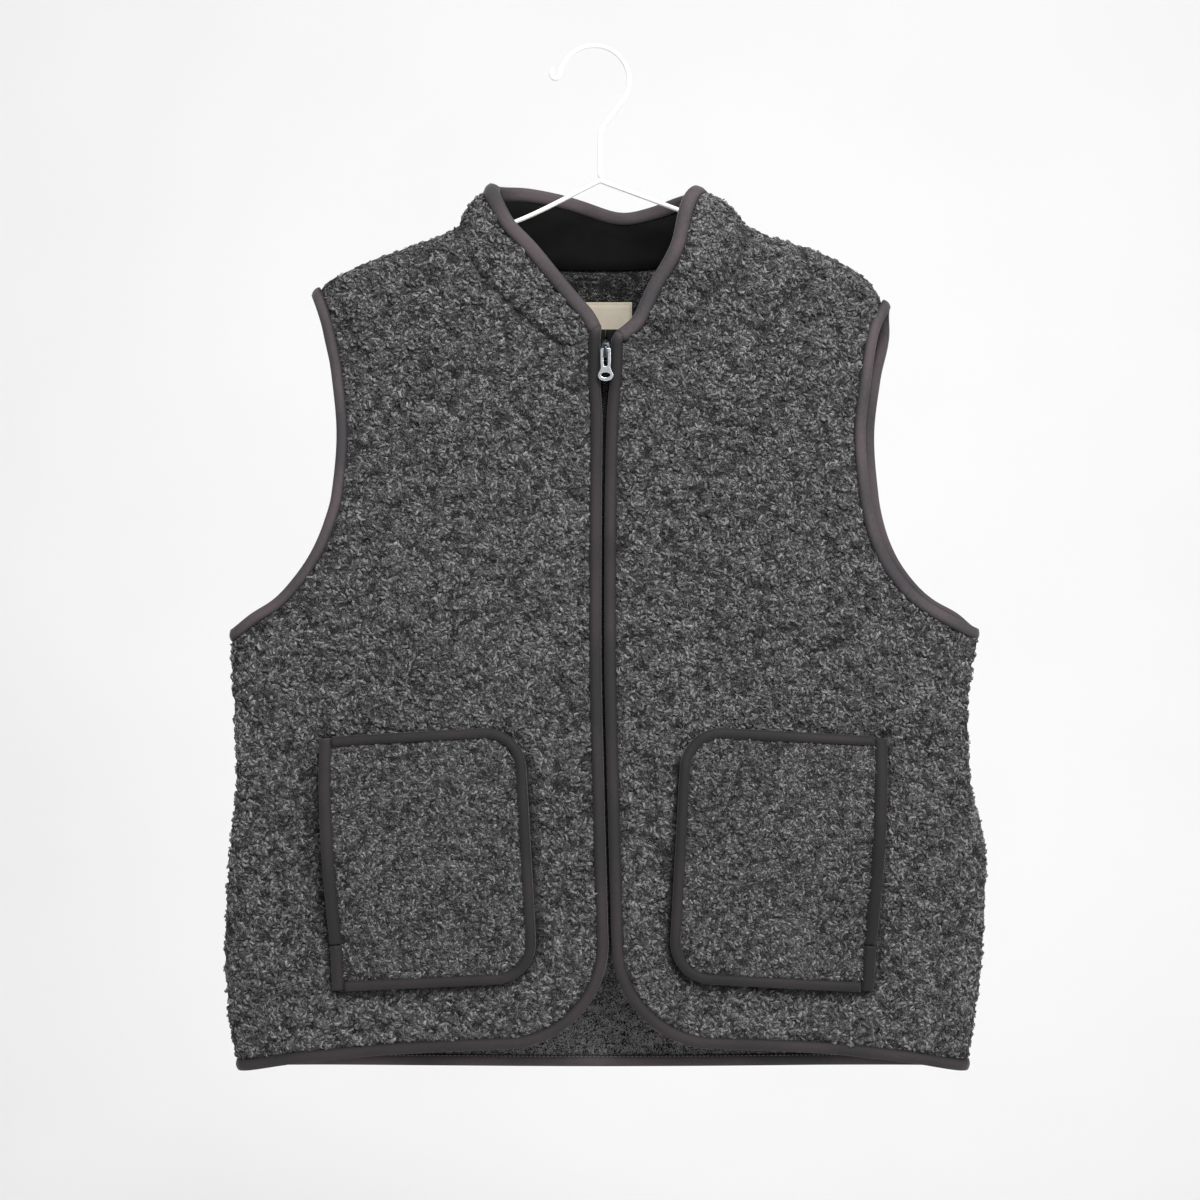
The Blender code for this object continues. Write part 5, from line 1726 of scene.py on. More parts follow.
@dataclass
class Vest:
    """The vest's cloth: fronts, back, collar with its facing and label, and their bindings."""

    shop: Workshop
    facing_foot: float = 1.0
    facing_least: float = 26.0
    facing_drape: float = 0.45
    label_width: float = 41.0
    label_height: float = 25.0
    label_top: float = 538.5
    label_curl: float = 1.2

    def edges(self) -> None:
        """Works out the edges that several pieces share."""
        self.zip_edge, self.collar_end, self.shoulders = {}, {}, {}
        heights = np.linspace(ZIP_FOOT, ZIP_TOP, 200)
        for side in Side:
            run = np.stack((front_edge_x(side, heights), heights), axis=-1)
            self.zip_edge[side] = edge_line(run, Face.FRONT)
            top = COLLAR_EDGE[side][0]
            run = np.linspace((side * top.x, top.height), (front_edge_x(side, ZIP_TOP), ZIP_TOP), 12)
            self.collar_end[side] = edge_line(run, Face.FRONT)
            run = ridge(side, np.linspace(SHOULDER_TIP[side], NECK_SHOULDER, 80))
            self.shoulders[side] = cloth_points(run[:, 0], run[:, 1], Face.FRONT)
        self.hem, self.neck, self.collar_edge = [
            {side: edge_line(route(side), Face.FRONT) for side in Side}
            for route in (front_hem, front_neck_seam, collar_front_edge)
        ]
        self.back_hem, self.back_neck, self.collar_back = [
            {side: edge_line(route(side), Face.BACK) for side in Side}
            for route in (back_hem, back_neck_seam, collar_back_edge)
        ]
        self.holes = {(side, face): edge_line(armhole(side, face), face) for side in Side for face in Face}

    def build_panels(self, pockets: dict[Side, Array]) -> None:
        """Both fronts, with the pockets' lines on them, and the back."""
        back = []
        for side in Side:
            WoolPiece(
                self.shop, f"front_panel_{side.label}",
                [grid[:, ::side] for grid in half_panel(side, Face.FRONT, FRONT_STEPS)],
                bound=[self.zip_edge[side], self.hem[side], self.holes[side, Face.FRONT]],
                sewn=[self.neck[side]], ridges=[self.shoulders[side]], under=[pockets[side]],
                flat=(0.275, 0.6), area=0.125, curls=11500, seed=11 + side, finish=self.shop.wool,
            ).build()
            back += [grid[:, ::-side] for grid in half_panel(side, Face.BACK, BACK_STEPS)]
        WoolPiece(
            self.shop, "back_panel", back,
            bound=[*self.back_hem.values(), *[self.holes[side, Face.BACK] for side in Side]],
            sewn=[*self.back_neck.values()], ridges=[*self.shoulders.values()], flat=(0.54, 0.61), area=0.273,
            curls=15800, seed=5, finish=self.shop.wool,
        ).build()

    def collar_grid(self, front: int = 64, back: int = 56, rows: int = 32) -> Array:
        """The collar's points.

        Args:
            front: columns on each side in front.
            back: columns on each side behind.
            rows: rows from the seam to the free edge.

        Returns:
            Rows of points, column by column round the neck from the left front to the right front.
        """
        def round_neck(fore: Callable, aft: Callable) -> tuple[Array, Array]:
            """Places along a front and a back curve of both sides, and their faces."""
            ahead = {s: shared_out(fore(s), Face.FRONT, lambda _: np.linspace(0, 1, front + 1)) for s in Side}
            behind = {s: shared_out(aft(s), Face.BACK, lambda _: np.linspace(0, 1, back + 1)) for s in Side}
            runs = [ahead[Side.LEFT][:-1], behind[Side.LEFT][::-1], behind[Side.RIGHT][1:],
                    ahead[Side.RIGHT][::-1][1:]]
            faces = np.repeat((Face.FRONT, Face.BACK, Face.BACK, Face.FRONT), [len(run) for run in runs])
            return np.concatenate(runs)[None], faces

        seam, face = round_neck(front_neck_seam, back_neck_seam)
        free, _ = round_neck(collar_front_edge, collar_back_edge)
        rise = np.linspace(0, 1, rows + 1)[:, None, None]
        places = seam * (1 - rise) + free * rise
        return cloth_points(places[..., 0], places[..., 1], face[None, :])

    def build_collar(self) -> None:
        """The stand collar and the black facing band inside it."""
        grid = self.collar_grid()
        WoolPiece(
            self.shop, "collar", [grid], bound=[*self.collar_edge.values(), *self.collar_back.values()],
            sewn=[*self.neck.values(), *self.back_neck.values()], flat=(0.43, 0.062), area=0.0205,
            curls=2300, seed=3, finish=self.shop.wool, reach=COLLAR_REACH,
        ).build()

        out = cloth_normals(grid)
        height = np.linalg.norm(grid[-1] - grid[0], axis=-1)
        tall = np.flatnonzero(height > self.facing_least)
        tall = np.arange(tall[0], tall[0] + (tall[-1] - tall[0]) // STRIDE * STRIDE + 1)
        rows = np.linspace(0, 1, grid.shape[0])
        levels = np.linspace(0, 1, 17)
        columns = []
        for k in tall:
            low, high = self.facing_foot / height[k], 1 - FACING_CLEAR / height[k]
            at = low + (high - low) * levels
            columns.append([between(at, rows, values[:, k]) for values in (grid, out)])
        band, ways = [np.stack(values, axis=1) for values in zip(*columns)]
        ways = unit(ways)
        drape = np.array([
            self.facing_drape * noise.noise((p[0] / 7.0, p[1] / 20.0, p[2] / 46.0))
            for p in band.reshape(-1, 3)
        ]).reshape(band.shape[:2])
        band = band - ways * (WOOL / 2 + GAP + FACING / 2 + np.maximum(drape, -0.1))[..., None]
        half = np.full(band.shape[:2], FACING / 2)
        mesh = shell_mesh("collar_facing_band", [Grid(band, ways, half, half)], FACING / 2, STRIDE)
        piece = self.shop.add(mesh, self.shop.cotton, "black_cotton", "collar_facing")

    def build_label(self) -> None:
        """The bare cream label inside the back neck, sewn along its top and sides."""
        width, tall, top = self.label_width, self.label_height, self.label_top
        x, height = np.meshgrid(np.linspace(-width / 2, width / 2, 33), np.linspace(top - tall, top, 21))
        points = cloth_points(x / half_width(x, height), height, Face.BACK)
        out = cloth_normals(points)
        curl = self.label_curl * np.clip((top - 9 - height) / tall, 0, 1) ** 2
        points = points - out * (WOOL / 2 + GAP + LABEL / 2 + curl)[..., None]
        half = np.full(x.shape, LABEL / 2)
        grid = Grid(points[:, ::-1], out[:, ::-1], half, half)
        mesh = shell_mesh("neck_label_cloth", [grid], LABEL / 2, STRIDE)
        piece = self.shop.add(mesh, self.shop.label, "cream_label", "neck_label")
        inside = slice(1, -1)
        rows = []
        for sewn in ((-2, inside), (inside, 1), (inside, -2)):
            rows.append(stitch_places(points[sewn] - out[sewn] * (LABEL / 2 + 0.05), -out[sewn], 2.1, 4))
        sewing = self.shop.sew("label_stitches", rows, (1.5, 0.36), self.shop.pale_thread, "cream_label")

    def build_bindings(self) -> None:
        """The folded tapes on the front edges, the hem, the armholes and the collar, and their sewing."""
        dark = []
        for side in Side:
            line = joined(self.collar_end[side], self.zip_edge[side][::-1], self.hem[side])
            front = cloth_tape(self.shop, f"binding_front_{side.label}", line, (side, 0, 0), 12)
            front.shades = FRONT_SHADES
            loop = np.concatenate((self.holes[side, Face.FRONT][:-1], self.holes[side, Face.BACK][::-1][:-1]))
            hole = cloth_tape(self.shop, f"binding_armhole_{side.label}", loop, (0, 0, -1), 0, closed=True)
            for tape, seed in ((front, 21), (hole, 23)):
                tape.build()
                dark += [tape.stitches(1, seed), tape.stitches(-1, seed + 1)]
        line = joined(self.back_hem[Side.RIGHT][::-1], self.back_hem[Side.LEFT])
        hem = cloth_tape(self.shop, "binding_hem_back", line, (0, 0, 1), len(line) // 2)
        hem.build()
        line = joined(
            self.collar_edge[Side.LEFT], self.collar_back[Side.LEFT][::-1], self.collar_back[Side.RIGHT],
            self.collar_edge[Side.RIGHT][::-1],
        )
        for _ in range(6):
            line[1:-1] = 0.25 * line[:-2] + 0.5 * line[1:-1] + 0.25 * line[2:]
        collar = cloth_tape(self.shop, "binding_collar", line, (0, 0, -1), len(line) // 2, reach=COLLAR_REACH)
        collar.build()
        dark += [hem.stitches(1, 25), collar.stitches(1, 27), collar.stitches(-1, 28, 2.8, 0.6, 0.35)]
        self.shop.sew("binding_stitches", dark, (2.5, 0.5), self.shop.dark_thread, "binding_tape")
        pale = [hem.stitches(-1, 26, 3.0, 0.6, 0.35)]
        self.shop.sew("inner_stitches", pale, (2.3, 0.6), self.shop.pale_thread, "binding_tape")


# Pockets

# Painted shade on the pocket tapes, darkest on the left pocket's mouth; the binding's legs' ends get less
# painted shade than the other tapes.
POCKET_SHADE = 0.88
MOUTH_SHADE = {Side.RIGHT: 0.82, Side.LEFT: 1.0}
POCKET_FOOT_RIM = 0.35


@dataclass
class Pocket:
    """A patch pocket that gapes at its mouth, with its mouth strip, closing tab and binding."""

    shop: Workshop
    side: Side
    foot_out: float = 183.5
    foot_height: float = 60.5
    width: float = 138.0
    height: float = 172.0
    lean: float = 3.2
    radius: float = 27.0
    stand: float = 11.0
    tab: float = 31.0
    tab_gap: float = 0.6
    pile: Pile = Pile(clump=4.4, low=0.5, deep=1.5, size=0.8)

    def surface(self, flat: Array) -> tuple[Array, Array]:
        """The pocket's middle layer.

        Args:
            flat: places in the pocket's own plane, with 0 at its mouth and at its foot.

        Returns:
            Points, and the directions out there.
        """
        lean = math.radians(self.lean)
        along, up = flat[..., 0], flat[..., 1]
        x = self.side * (self.foot_out - along * math.cos(lean) + up * math.sin(lean))
        height = self.foot_height + along * math.sin(lean) + up * math.cos(lean)
        tab = self.tab / self.height
        rise = np.clip(up / self.height, 0, 1)
        gape = np.sin(math.pi * np.clip((rise - tab) / (1 - tab), 0, 1))
        base = WOOL / 2 + 2 * GAP + TAPE + FOLD_GAP + POCKET_WOOL / 2
        stand = base + self.stand * gape * (1 - np.clip(along / self.width, 0, 1)) ** 1.3
        points = cloth_points(x / half_width(x, height), height, Face.FRONT)
        normals = cloth_normals(points)
        return points + normals * stand[..., None], normals

    def round_edge(self) -> Array:
        """The sewn edge in the pocket's plane, from the mouth's foot round the inner side to its top."""
        turn = np.radians(np.linspace(0, 90, 40))
        corner = np.stack((self.width - self.radius + self.radius * np.sin(turn),
                           self.radius - self.radius * np.cos(turn)), axis=-1)
        low = np.concatenate(([(0.0, 0.0)], corner))
        high = np.stack((low[:, 0], self.height - low[:, 1]), axis=-1)
        return np.concatenate((low, high[::-1]))

    def outline(self) -> Array:
        """Where the mouth, the bottom and the inner side lie on the front, as points of its middle layer."""
        edge = self.round_edge()
        low = edge[:len(edge) // 2]
        line = np.concatenate(([(0.0, self.height)], low, [(self.width, self.height - self.radius)]))
        points, normals = self.surface(every(line, 2.0))
        return onto_cloth(points - normals * 5.5)

    def places(self, columns: int = 88, rows: int = 104) -> Array:
        """The pocket's plane in columns from the mouth to the inner side and rows going up."""
        edge = self.round_edge()
        half = len(edge) // 2
        shares = np.linspace(0, 1, columns + 1)
        rise = np.linspace(0, 1, rows + 1)
        mouth = np.stack((np.zeros(rows + 1), rise * self.height), axis=-1)
        up = self.radius + rise * (self.height - 2 * self.radius)
        inner = np.stack((np.full(rows + 1, self.width), up), axis=-1)
        bottom, top = [even_shares(line, shares) for line in (edge[:half], edge[half:][::-1])]
        return patch(bottom, top, mouth, inner, rise)

    def tape(self, name: str, route: Array, inward: Array, reach: float, shade: float) -> Tape:
        """A tape along a line in the pocket's plane.

        Args:
            name: its name, without the side.
            route: the line.
            inward: the direction into the cloth, or one for each point.
            reach: how far its legs reach in.
            shade: how much painted shade it has.

        Returns:
            The tape, not yet built.
        """
        points, normals = self.surface(route)
        foots, foot_normals = self.surface(route + inward * reach)
        return Tape(
            self.shop, f"{name}_{self.side.label}", points, normals, foots, foot_normals, POCKET_WOOL,
            shades=((0.0, shade),),
        )

    def build(self) -> None:
        """The pocket's wool and its three bindings."""
        label = self.side.label
        points, normals = self.surface(self.places())
        order = slice(None, None, -int(self.side))
        edge = self.surface(every(np.concatenate((self.round_edge(), [(0.0, 0.0)])), 2.0))[0]
        WoolPiece(
            self.shop, f"pocket_{label}", [points[:, order]], bound=[edge], sewn=[], flat=(0.143, 0.176),
            area=0.0243, curls=2600, seed=31 + self.side, finish=self.shop.pocket_wool, pile=self.pile,
            wall=POCKET_WOOL, reach=6.0, normals=[normals[:, order]], rests_on=(f"front_panel_{label}",),
        ).build()
        tapes = []
        for name, low, high, count, step in (
            ("pocket_mouth", self.tab + self.tab_gap, self.height, 60, 2.5),
            ("pocket_tab", 0.0, self.tab - self.tab_gap, 24, 2.0),
        ):
            line = every(np.stack((np.zeros(count), np.linspace(low, high, count)), axis=-1), step)
            tapes.append(self.tape(name, line, np.array([1.0, 0.0]), MOUTH_REACH, MOUTH_SHADE[self.side]))
        route = every(self.round_edge(), 2.0)
        length = lengths_along(route)[-1]
        clear = MOUTH_REACH + 0.5
        route = even_shares(route, np.linspace(clear, length - clear, len(route)) / length)
        ahead = unit(np.gradient(route, axis=0))
        inward = np.stack((-ahead[:, 1], ahead[:, 0]), axis=-1)
        tapes.append(self.tape("pocket_binding", route, inward, POCKET_REACH, POCKET_SHADE))
        tapes[-1].foot_rim = POCKET_FOOT_RIM
        rows = []
        for tape in tapes:
            tape.build()
            rows.append(tape.stitches(1, 41, 3.0))
        self.shop.sew(f"pocket_stitches_{label}", rows, (2.4, 0.46), self.shop.dark_thread, "binding_tape")


# Zip

# Half the pull tab's outline, from its hinge
PULL_EDGE = [
    EdgePoint(3.1, 0.8), EdgePoint(3.5, 0.2), EdgePoint(3.5, -9.0), EdgePoint(3.2, -12.4),
    EdgePoint(4.1, -14.6), EdgePoint(5.1, -16.4), EdgePoint(5.3, -17.8), EdgePoint(4.7, -19.4),
    EdgePoint(3.0, -20.6), EdgePoint(1.0, -21.1),
]


@dataclass
class Zip:
    """The zip behind the front bindings: tapes, teeth, slider with its bail, and the pull tab."""

    shop: Workshop
    tape: float = 0.7
    tape_width: float = 13.0
    tape_foot: float = 8.0
    tape_head: float = 9.5
    rib: float = 0.06
    chain_width: float = 4.4
    chain: float = 1.8
    pitch: float = 1.75
    tooth: tuple[float, float, float] = (2.7, 0.95, 1.7)
    tooth_soft: float = 0.36
    tooth_out: float = 0.85
    slider_top: float = 505.0
    slider_foot: float = 492.0
    slider_width: float = 6.8
    slider_depth: float = 6.6
    slider_behind: float = 4.2
    slider_soft: float = 0.45
    bail_width: float = 2.6
    bail_bar: float = 1.5
    bail_sunk: float = 0.6
    bail_bend: float = 2.2
    pull_thickness: float = 1.4
    pull_height: float = 499.3
    pull_stand: float = 5.2
    pull_soft: float = 0.3
    slot: float = 1.75
    slot_top: float = 0.8
    slot_foot: float = 11.6
    hole: tuple[float, float] = (3.5, 2.1)
    hole_below: float = 17.3

    def layer(self, heights: Array, offsets: Array, inset: float) -> tuple[Array, Array]:
        """Points beside the zip's line, moved in behind the bindings.

        Args:
            heights: their heights.
            offsets: how far they lie from the line.
            inset: how far they are moved in.

        Returns:
            The points, and the directions out there.
        """
        height = np.broadcast_to(heights, offsets.shape)
        x = column(ZIP_LINE, "height", "x", height) + offsets
        points = cloth_points(x / half_width(x, height), height, Face.FRONT)
        normals = cloth_normals(points)
        return points - normals * inset, normals

    def pivot(self) -> Array:
        """The pull tab's hinge."""
        point = cloth_points(np.array(0.0), np.array(self.pull_height), Face.FRONT)
        x = float(column(ZIP_LINE, "height", "x", self.pull_height))
        return np.array([x, point[1] - self.pull_stand, point[2]])

    def build(self) -> None:
        """All pieces of the zip."""
        behind = WOOL / 2 + FOLD_GAP + TAPE + GAP
        self.build_tapes(behind)
        self.build_teeth(behind)
        self.build_slider()
        self.build_pull()

    def build_tapes(self, behind: float) -> None:
        """Both woven tapes, behind the middle layer; they part at the slider and close above it."""
        heights = np.linspace(ZIP_FOOT - self.tape_foot, self.slider_top + self.tape_head, 189)
        chain_edge = self.chain_width / 2 + GAP
        slider_edge = self.slider_width / 2 + 2 * GAP
        turns = (self.slider_foot - 14, self.slider_foot - 2, self.slider_top, self.slider_top + 3)
        inner = np.interp(heights, turns, (chain_edge, slider_edge, slider_edge, 0.05))
        shares = np.linspace(0, 1, 9)[None, :]
        for side in Side:
            offsets = side * (inner[:, None] * (1 - shares) + self.tape_width * shares)
            points, normals = self.layer(heights[:, None], offsets, behind + self.tape / 2)
            ribs = self.rib * np.sin(np.arange(9) * 2.4)[None, :]
            half = self.tape / 2 + np.broadcast_to(ribs, points.shape[:2])
            grid = Grid(*[values[:, ::int(side)] for values in (points, normals, half, half)])
            mesh = shell_mesh(f"zip_tape_{side.label}_cloth", [grid], self.tape / 2, STRIDE)
            piece = self.shop.add(mesh, self.shop.zip_cloth, "zip_nylon", f"zip_tape_{side.label}")

    def build_teeth(self, behind: float) -> None:
        """Interlocked teeth, the two sides half a pitch apart, at a distance behind the middle layer."""
        parts = []
        for side in Side:
            first = ZIP_FOOT - self.tape_foot + (0.25 if side == Side.LEFT else 0.75) * self.pitch
            heights = np.arange(first, self.slider_foot - 0.6, self.pitch)
            count = len(heights)
            out = np.full(count, side * self.tooth_out)
            points, normals = self.layer(heights, out, behind + self.chain / 2)
            up = unit(np.cross(normals, np.tile((1.0, 0.0, 0.0), (count, 1))))
            frames = np.stack((unit(np.cross(up, normals)), up, normals), axis=-1)
            parts.append(Places(points, frames, np.ones((count, 3)), np.zeros(count, int), np.zeros(count)))
        shape = bar_shape("tooth", self.tooth, self.tooth_soft * self.tooth[1])
        made = self.shop.repeater.mesh("zip_teeth", [shape], all_places(parts), self.shop.nylon)
        self.shop.add(made, self.shop.nylon, "zip_nylon", "zip_chain")

    def build_slider(self) -> None:
        """The slider: two plates on a post with rounded shoulders, and the arched bail."""
        x, y, _ = self.pivot()
        front = y + self.slider_behind
        half, depth = self.slider_width / 2, self.slider_depth
        low, high = self.slider_foot, self.slider_top
        right = [(half - 1.3, high), (half - 0.3, high - 1.2), (half, high - 4.0), (half - 0.5, low + 1.4),
                 (half - 1.3, low)]
        left = [(-px, pz) for px, pz in reversed(right)]
        outline = left[2:] + right + left[:2]
        body = bmesh.new()
        for near, far, shrink in ((0.0, 1.9, 1.0), (1.6, depth - 1.6, 0.52), (depth - 1.9, depth, 0.97)):
            ring = [(x + px * shrink, pz) for px, pz in outline]
            add_prism(body, ring, front + near, front + far, self.slider_soft)
        add_strap(body, x, self.bail_path(y, front), self.bail_width, self.bail_bar)
        mesh = bpy.data.meshes.new("zip_slider_body")
        body.to_mesh(mesh)
        body.free()
        mesh.shade_smooth()
        self.shop.add(mesh, self.shop.gunmetal, "slider_gunmetal", "zip_slider")

    def bail_path(self, y: float, front: float) -> Array:
        """The bail's middle line as (y, height) points, given the hinge's depth and the front plate's."""
        face = y - self.pull_thickness - self.bail_bar / 2
        root = front + self.bail_sunk
        low, high = self.slider_foot + 1.35, self.slider_top - 2.35
        turn = np.linspace(0, 1, 9) * math.pi / 2
        out, up = np.sin(turn), 1 - np.cos(turn)
        top = np.stack((root - (root - face) * out, high - self.bail_bend * up), axis=-1)
        foot = np.stack((face + (root - face) * up, low + self.bail_bend - self.bail_bend * out), axis=-1)
        return np.concatenate((top, foot))

    def build_pull(self) -> None:
        """The silver pull tab with the bail's slot and the finger hole, with soft edges."""
        wide, high = zip(*PULL_EDGE)
        knots = lengths_along(np.array(PULL_EDGE))
        fine = np.linspace(0, knots[-1], 40)
        right = list(zip(np.interp(fine, knots, wide), through(knots, high, fine)))
        arc = [(self.slot * math.cos(a), self.slot - self.slot_foot + self.slot * math.sin(a))
               for a in np.linspace(math.pi, 2 * math.pi, 13)]
        both = right + [(-x, z) for x, z in reversed(right)]
        outlines = [
            [(x - self.pull_soft * np.sign(x) * 0.9, z) for x, z in both],
            [(self.slot, -self.slot_top), (-self.slot, -self.slot_top), *arc],
            [(self.hole[0] * math.cos(a), self.hole[1] * math.sin(a) - self.hole_below)
             for a in np.linspace(0, 2 * math.pi, 41)[:-1]],
        ]
        curve = bpy.data.curves.new("pull outline", "CURVE")
        curve.dimensions = "2D"
        curve.fill_mode = "BOTH"
        curve.extrude = (self.pull_thickness / 2 - self.pull_soft) * MM
        curve.bevel_depth = self.pull_soft * MM
        curve.bevel_resolution = 2
        for outline in outlines:
            spline = curve.splines.new("POLY")
            spline.points.add(len(outline) - 1)
            spline.use_cyclic_u = True
            for knot, (x, z) in zip(spline.points, outline):
                knot.co = (x * MM, z * MM, 0, 1)
        mesh = plain_mesh("zip_pull_tab", placed("pull outline", curve))
        place = to_frame(self.pivot())
        for vert in mesh.vertices:
            vert.co = Vector((vert.co.x + place[0], place[1] - vert.co.z, vert.co.y + place[2]))
        faced_out(mesh, merge=1e-6)
        self.shop.add(mesh, self.shop.silver, "pull_silver", "zip_pull", body="zip_pull")


def add_prism(body: bmesh.types.BMesh, outline: Sequence[tuple[float, float]], near: float, far: float,
              soft: float) -> None:
    """Adds a plate with softened edges.

    Args:
        body: what it is added to.
        outline: its outline from the front.
        near: its front face's depth.
        far: its back face's depth.
        soft: the width of its softened edges.
    """
    front, back = [[body.verts.new(to_frame((x, depth, z))) for x, z in outline] for depth in (near, far)]
    faces = [body.faces.new(front), body.faces.new(back[::-1])]
    for k in range(len(outline)):
        n = (k + 1) % len(outline)
        faces.append(body.faces.new((front[n], front[k], back[k], back[n])))
    edges = {edge for face in faces[:2] for edge in face.edges}
    bmesh.ops.recalc_face_normals(body, faces=faces)
    bmesh.ops.bevel(body, geom=list(edges), offset=soft * MM, segments=2, affect="EDGES", profile=0.5)


def add_strap(body: bmesh.types.BMesh, x: float, path: Array, width: float, bar: float) -> None:
    """Adds a rounded strap.

    Args:
        body: what it is added to.
        x: its middle.
        path: its middle line as (y, height) points.
        width: its width.
        bar: its thickness.
    """
    ahead = unit(np.gradient(path, axis=0))[..., None]
    turns = np.radians(np.arange(0, 360, 30))
    ways = (width, np.cos(turns)), (bar, np.sin(turns))
    wide, thick = [size / 2 * np.sign(way) * np.abs(way) ** 0.6 for size, way in ways]
    y, height = path[:, :1] - ahead[:, 1] * thick, path[:, 1:] + ahead[:, 0] * thick
    rings = np.stack((np.broadcast_to(x + wide, y.shape), y, height), axis=-1)
    body.from_mesh(tube_mesh("bail", rings, closed=False))


# Hanger

@dataclass
class Hanger:
    """The white wire hanger: a hook and two arms under the shoulders."""

    shop: Workshop
    wire: float = 3.2
    wire_corners: int = 14
    wire_end: float = 0.55
    hook_x: float = 1.5
    hook_radius: float = 24.5
    hook_turn: tuple[float, float] = (-35.0, 170.0)
    neck_x: float = 5.6
    neck_bend: float = -60.0
    neck_foot: float = -91.1
    return_radius: float = 2.9
    return_turn: tuple[float, float] = (-20.0, -190.0)
    peak: EdgePoint = EdgePoint(-2.1, 621.0)
    right_neck: EdgePoint = EdgePoint(-62.0, 592.0)
    left_neck: EdgePoint = EdgePoint(59.5, 598.0)
    rests: tuple[float, ...] = (116.0, 140.0, 164.0, 184.0)

    def shoulder_rest(self, side: Side, out: float) -> tuple[float, float]:
        """Where an arm's middle line lies under the shoulder ridge, at a distance out from x = 0."""
        heights = np.linspace(NECK_SHOULDER, SHOULDER_TIP[side], 400)
        widths = half_width(side, heights)
        height = np.interp(out, widths, heights)
        fall = (np.interp(out + 2, widths, heights) - np.interp(out - 2, widths, heights)) / 4
        down = (WOOL / 2 + GAP + self.wire / 2) * math.hypot(1, fall)
        return side * out, height - down

    def build_wire(self, node: str, line: Array) -> None:
        """Adds a round wire with rounded ends along (x, height) points, for a node."""
        line = every(line, 1.6)
        ahead = unit(np.gradient(line, axis=0))
        radius = np.full(len(line), self.wire / 2)
        radius[[0, -1]] *= self.wire_end
        level = np.zeros(len(line))
        side = np.stack((-ahead[:, 1], level, ahead[:, 0]), axis=-1)
        centre = np.stack((line[:, 0], level, line[:, 1]), axis=-1)
        depth = np.array([0.0, 1.0, 0.0])
        turns = np.radians(np.arange(0, 360, 360 / self.wire_corners))
        rings = np.stack([
            centre + radius[:, None] * (math.cos(turn) * side + math.sin(turn) * depth) for turn in turns
        ], axis=1)
        self.shop.add(tube_mesh(f"{node}_wire", rings, closed=False), self.shop.wire, "white_wire", node)

    def build(self) -> None:
        """The arms and the hook."""
        arms = []
        for side, neck in ((Side.RIGHT, self.right_neck), (Side.LEFT, self.left_neck)):
            arms.append(fine_route([self.peak, neck, *[self.shoulder_rest(side, out) for out in self.rests]]))
        self.build_wire("hanger_arms", joined(arms[0][::-1], arms[1]))

        centre = self.wire / 2 - self.hook_radius
        ring = [(self.hook_x + self.hook_radius * math.cos(a), centre + self.hook_radius * math.sin(a))
                for a in np.radians(np.linspace(*self.hook_turn, 60))]
        end_x, end_z = ring[-1]
        bend = [(end_x - self.return_radius * (1 - math.cos(a)), end_z + self.return_radius * math.sin(a))
                for a in np.radians(np.linspace(*self.return_turn, 18))]
        tip = (bend[-1][0] + 1.0, bend[-1][1] + 4.5)
        x, turn = self.neck_x, self.neck_bend
        neck = [(x, self.neck_foot), (x, turn - 5), (x + 0.4, turn), (x + 2.0, turn + 4.5)]
        self.build_wire("hanger_hook", np.array([*neck, *ring, *bend, tip]) - np.array([VEST_X, VEST_Z]))


# Stage, light and camera

class Lamp(NamedTuple):
    """A round soft light: its place, what it aims at, its size in metres and its power."""

    name: str
    place: tuple[float, float, float]
    aim: tuple[float, float, float]
    size: float
    power: float


LAMPS = [
    Lamp("key", (0.5, -1.7, 1.5), (0.0, 0.0, -0.15), 1.1, 77.0),
    Lamp("fill", (1.6, -1.8, 0.5), (0.0, 0.0, -0.3), 1.4, 27.0),
]


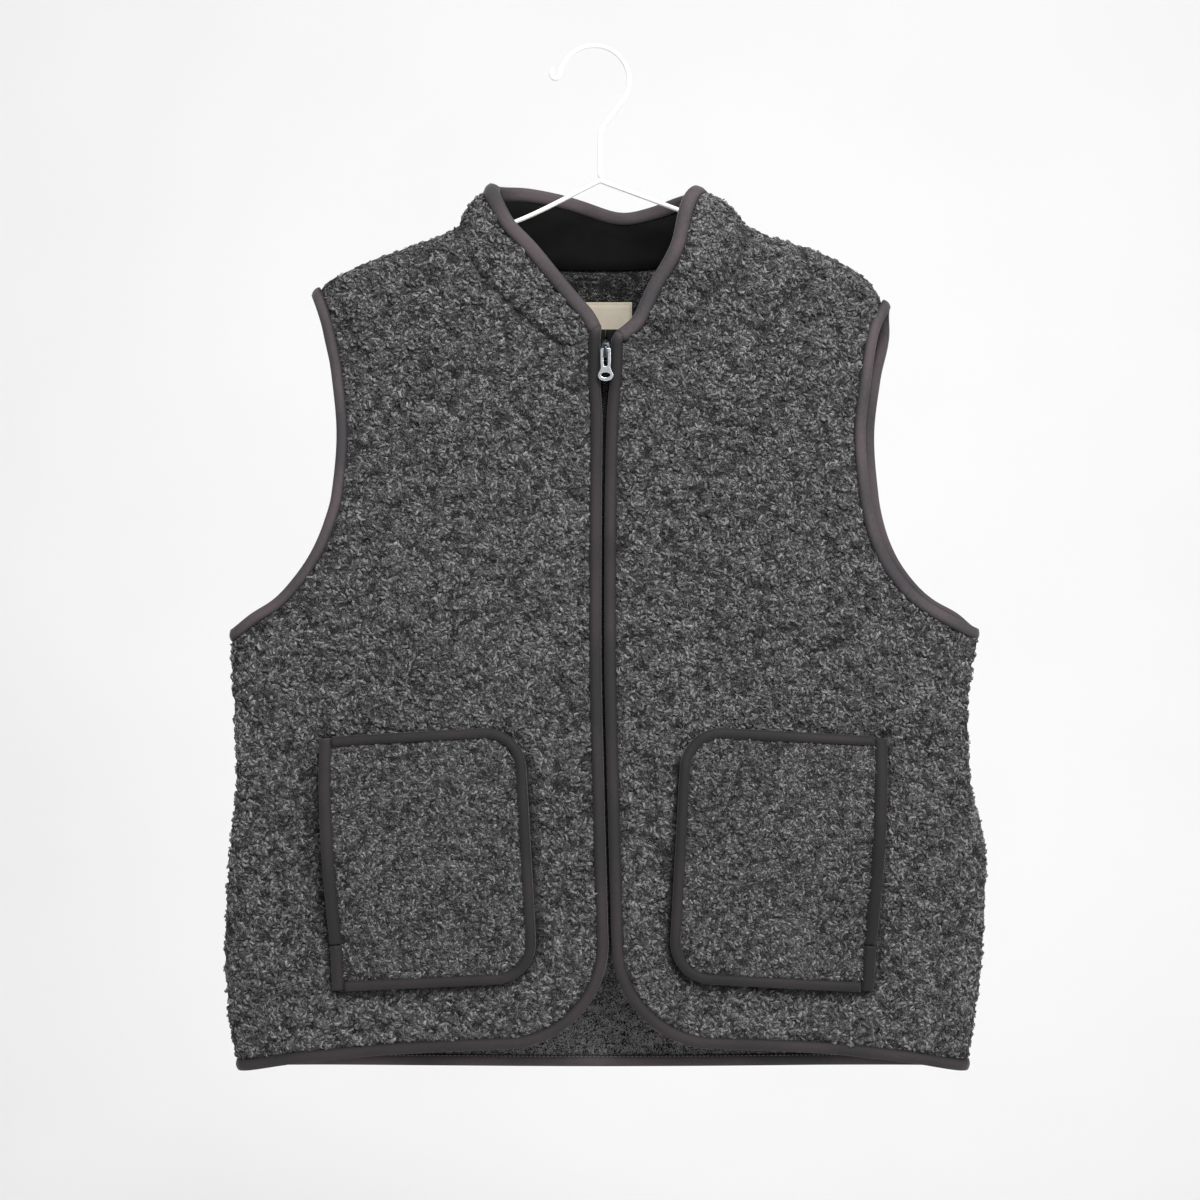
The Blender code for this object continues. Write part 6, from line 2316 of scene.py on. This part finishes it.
@dataclass
class Stage:
    """Pale wall far behind, floor well below, soft light and the photo's camera, in metres."""

    wall_depth: float = 2.6
    wall_top: float = 3.2
    wall_half: float = 5.0
    floor_level: float = -1.5
    floor_front: float = -4.0
    corner: float = 0.8
    surround: float = 0.6
    camera_x: float = 0.0056
    camera_z: float = -0.3864
    distance: float = 1.2
    lens: float = 51.43

    def build(self) -> None:
        """Everything round the part."""
        self.build_wall()
        self.build_light()
        camera = bpy.data.cameras.new("camera")
        camera.lens = self.lens
        camera.sensor_width = 36.0
        camera.dof.use_dof = False
        camera.clip_start = 0.05
        camera.clip_end = 60.0
        holder = placed("camera", camera)
        holder.location = (self.camera_x, -self.distance, self.camera_z)
        holder.rotation_euler = (math.pi / 2, 0, 0)
        bpy.context.scene.camera = holder

    def build_wall(self) -> None:
        """A wall that curves into the floor."""
        line = [(self.floor_front, self.floor_level)]
        for turn in np.radians(np.linspace(0, 90, 16)):
            in_wall, up = self.corner * (1 - math.sin(turn)), self.corner * (1 - math.cos(turn))
            line.append((self.wall_depth - in_wall, self.floor_level + up))
        line.append((self.wall_depth, self.wall_top))
        points = [(x, y, z) for y, z in line for x in (-self.wall_half, self.wall_half)]
        faces = [(2 * k, 2 * k + 1, 2 * k + 3, 2 * k + 2) for k in range(len(line) - 1)]
        mesh = bpy.data.meshes.new("wall")
        mesh.from_pydata(points, [], faces)
        mesh.shade_smooth()
        mesh.materials.append(Plaster("stage_paint", "F2F2F2", "EFEFEF").material())
        placed("wall", mesh)

    def build_light(self) -> None:
        """A large soft key from the upper front, a weaker fill from the right and a pale surround."""
        world = bpy.data.worlds.new("surround")
        world.use_nodes = True
        ground = world.node_tree.nodes["Background"]
        ground.inputs["Color"].default_value = (1.0, 1.0, 1.0, 1.0)
        ground.inputs["Strength"].default_value = self.surround
        bpy.context.scene.world = world
        for lamp in LAMPS:
            light = bpy.data.lights.new(lamp.name, "AREA")
            light.shape = "DISK"
            light.size = lamp.size
            light.energy = lamp.power
            holder = placed(lamp.name, light)
            holder.location = lamp.place
            ahead = Vector(lamp.aim) - Vector(lamp.place)
            holder.rotation_euler = ahead.to_track_quat("-Z", "Y").to_euler()
        bpy.context.scene.view_settings.view_transform = "Standard"


def main() -> None:
    """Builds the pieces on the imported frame, then the stage."""
    logging.basicConfig(level=logging.INFO, format="%(message)s")
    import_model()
    shop = Workshop()
    vest = Vest(shop)
    vest.edges()
    pockets = {side: Pocket(shop, side) for side in Side}
    vest.build_panels({side: pocket.outline() for side, pocket in pockets.items()})
    vest.build_collar()
    vest.build_label()
    vest.build_bindings()
    for pocket in pockets.values():
        pocket.build()
    Zip(shop).build()
    Hanger(shop).build()
    Stage().build()


if __name__ == "__main__":
    main()
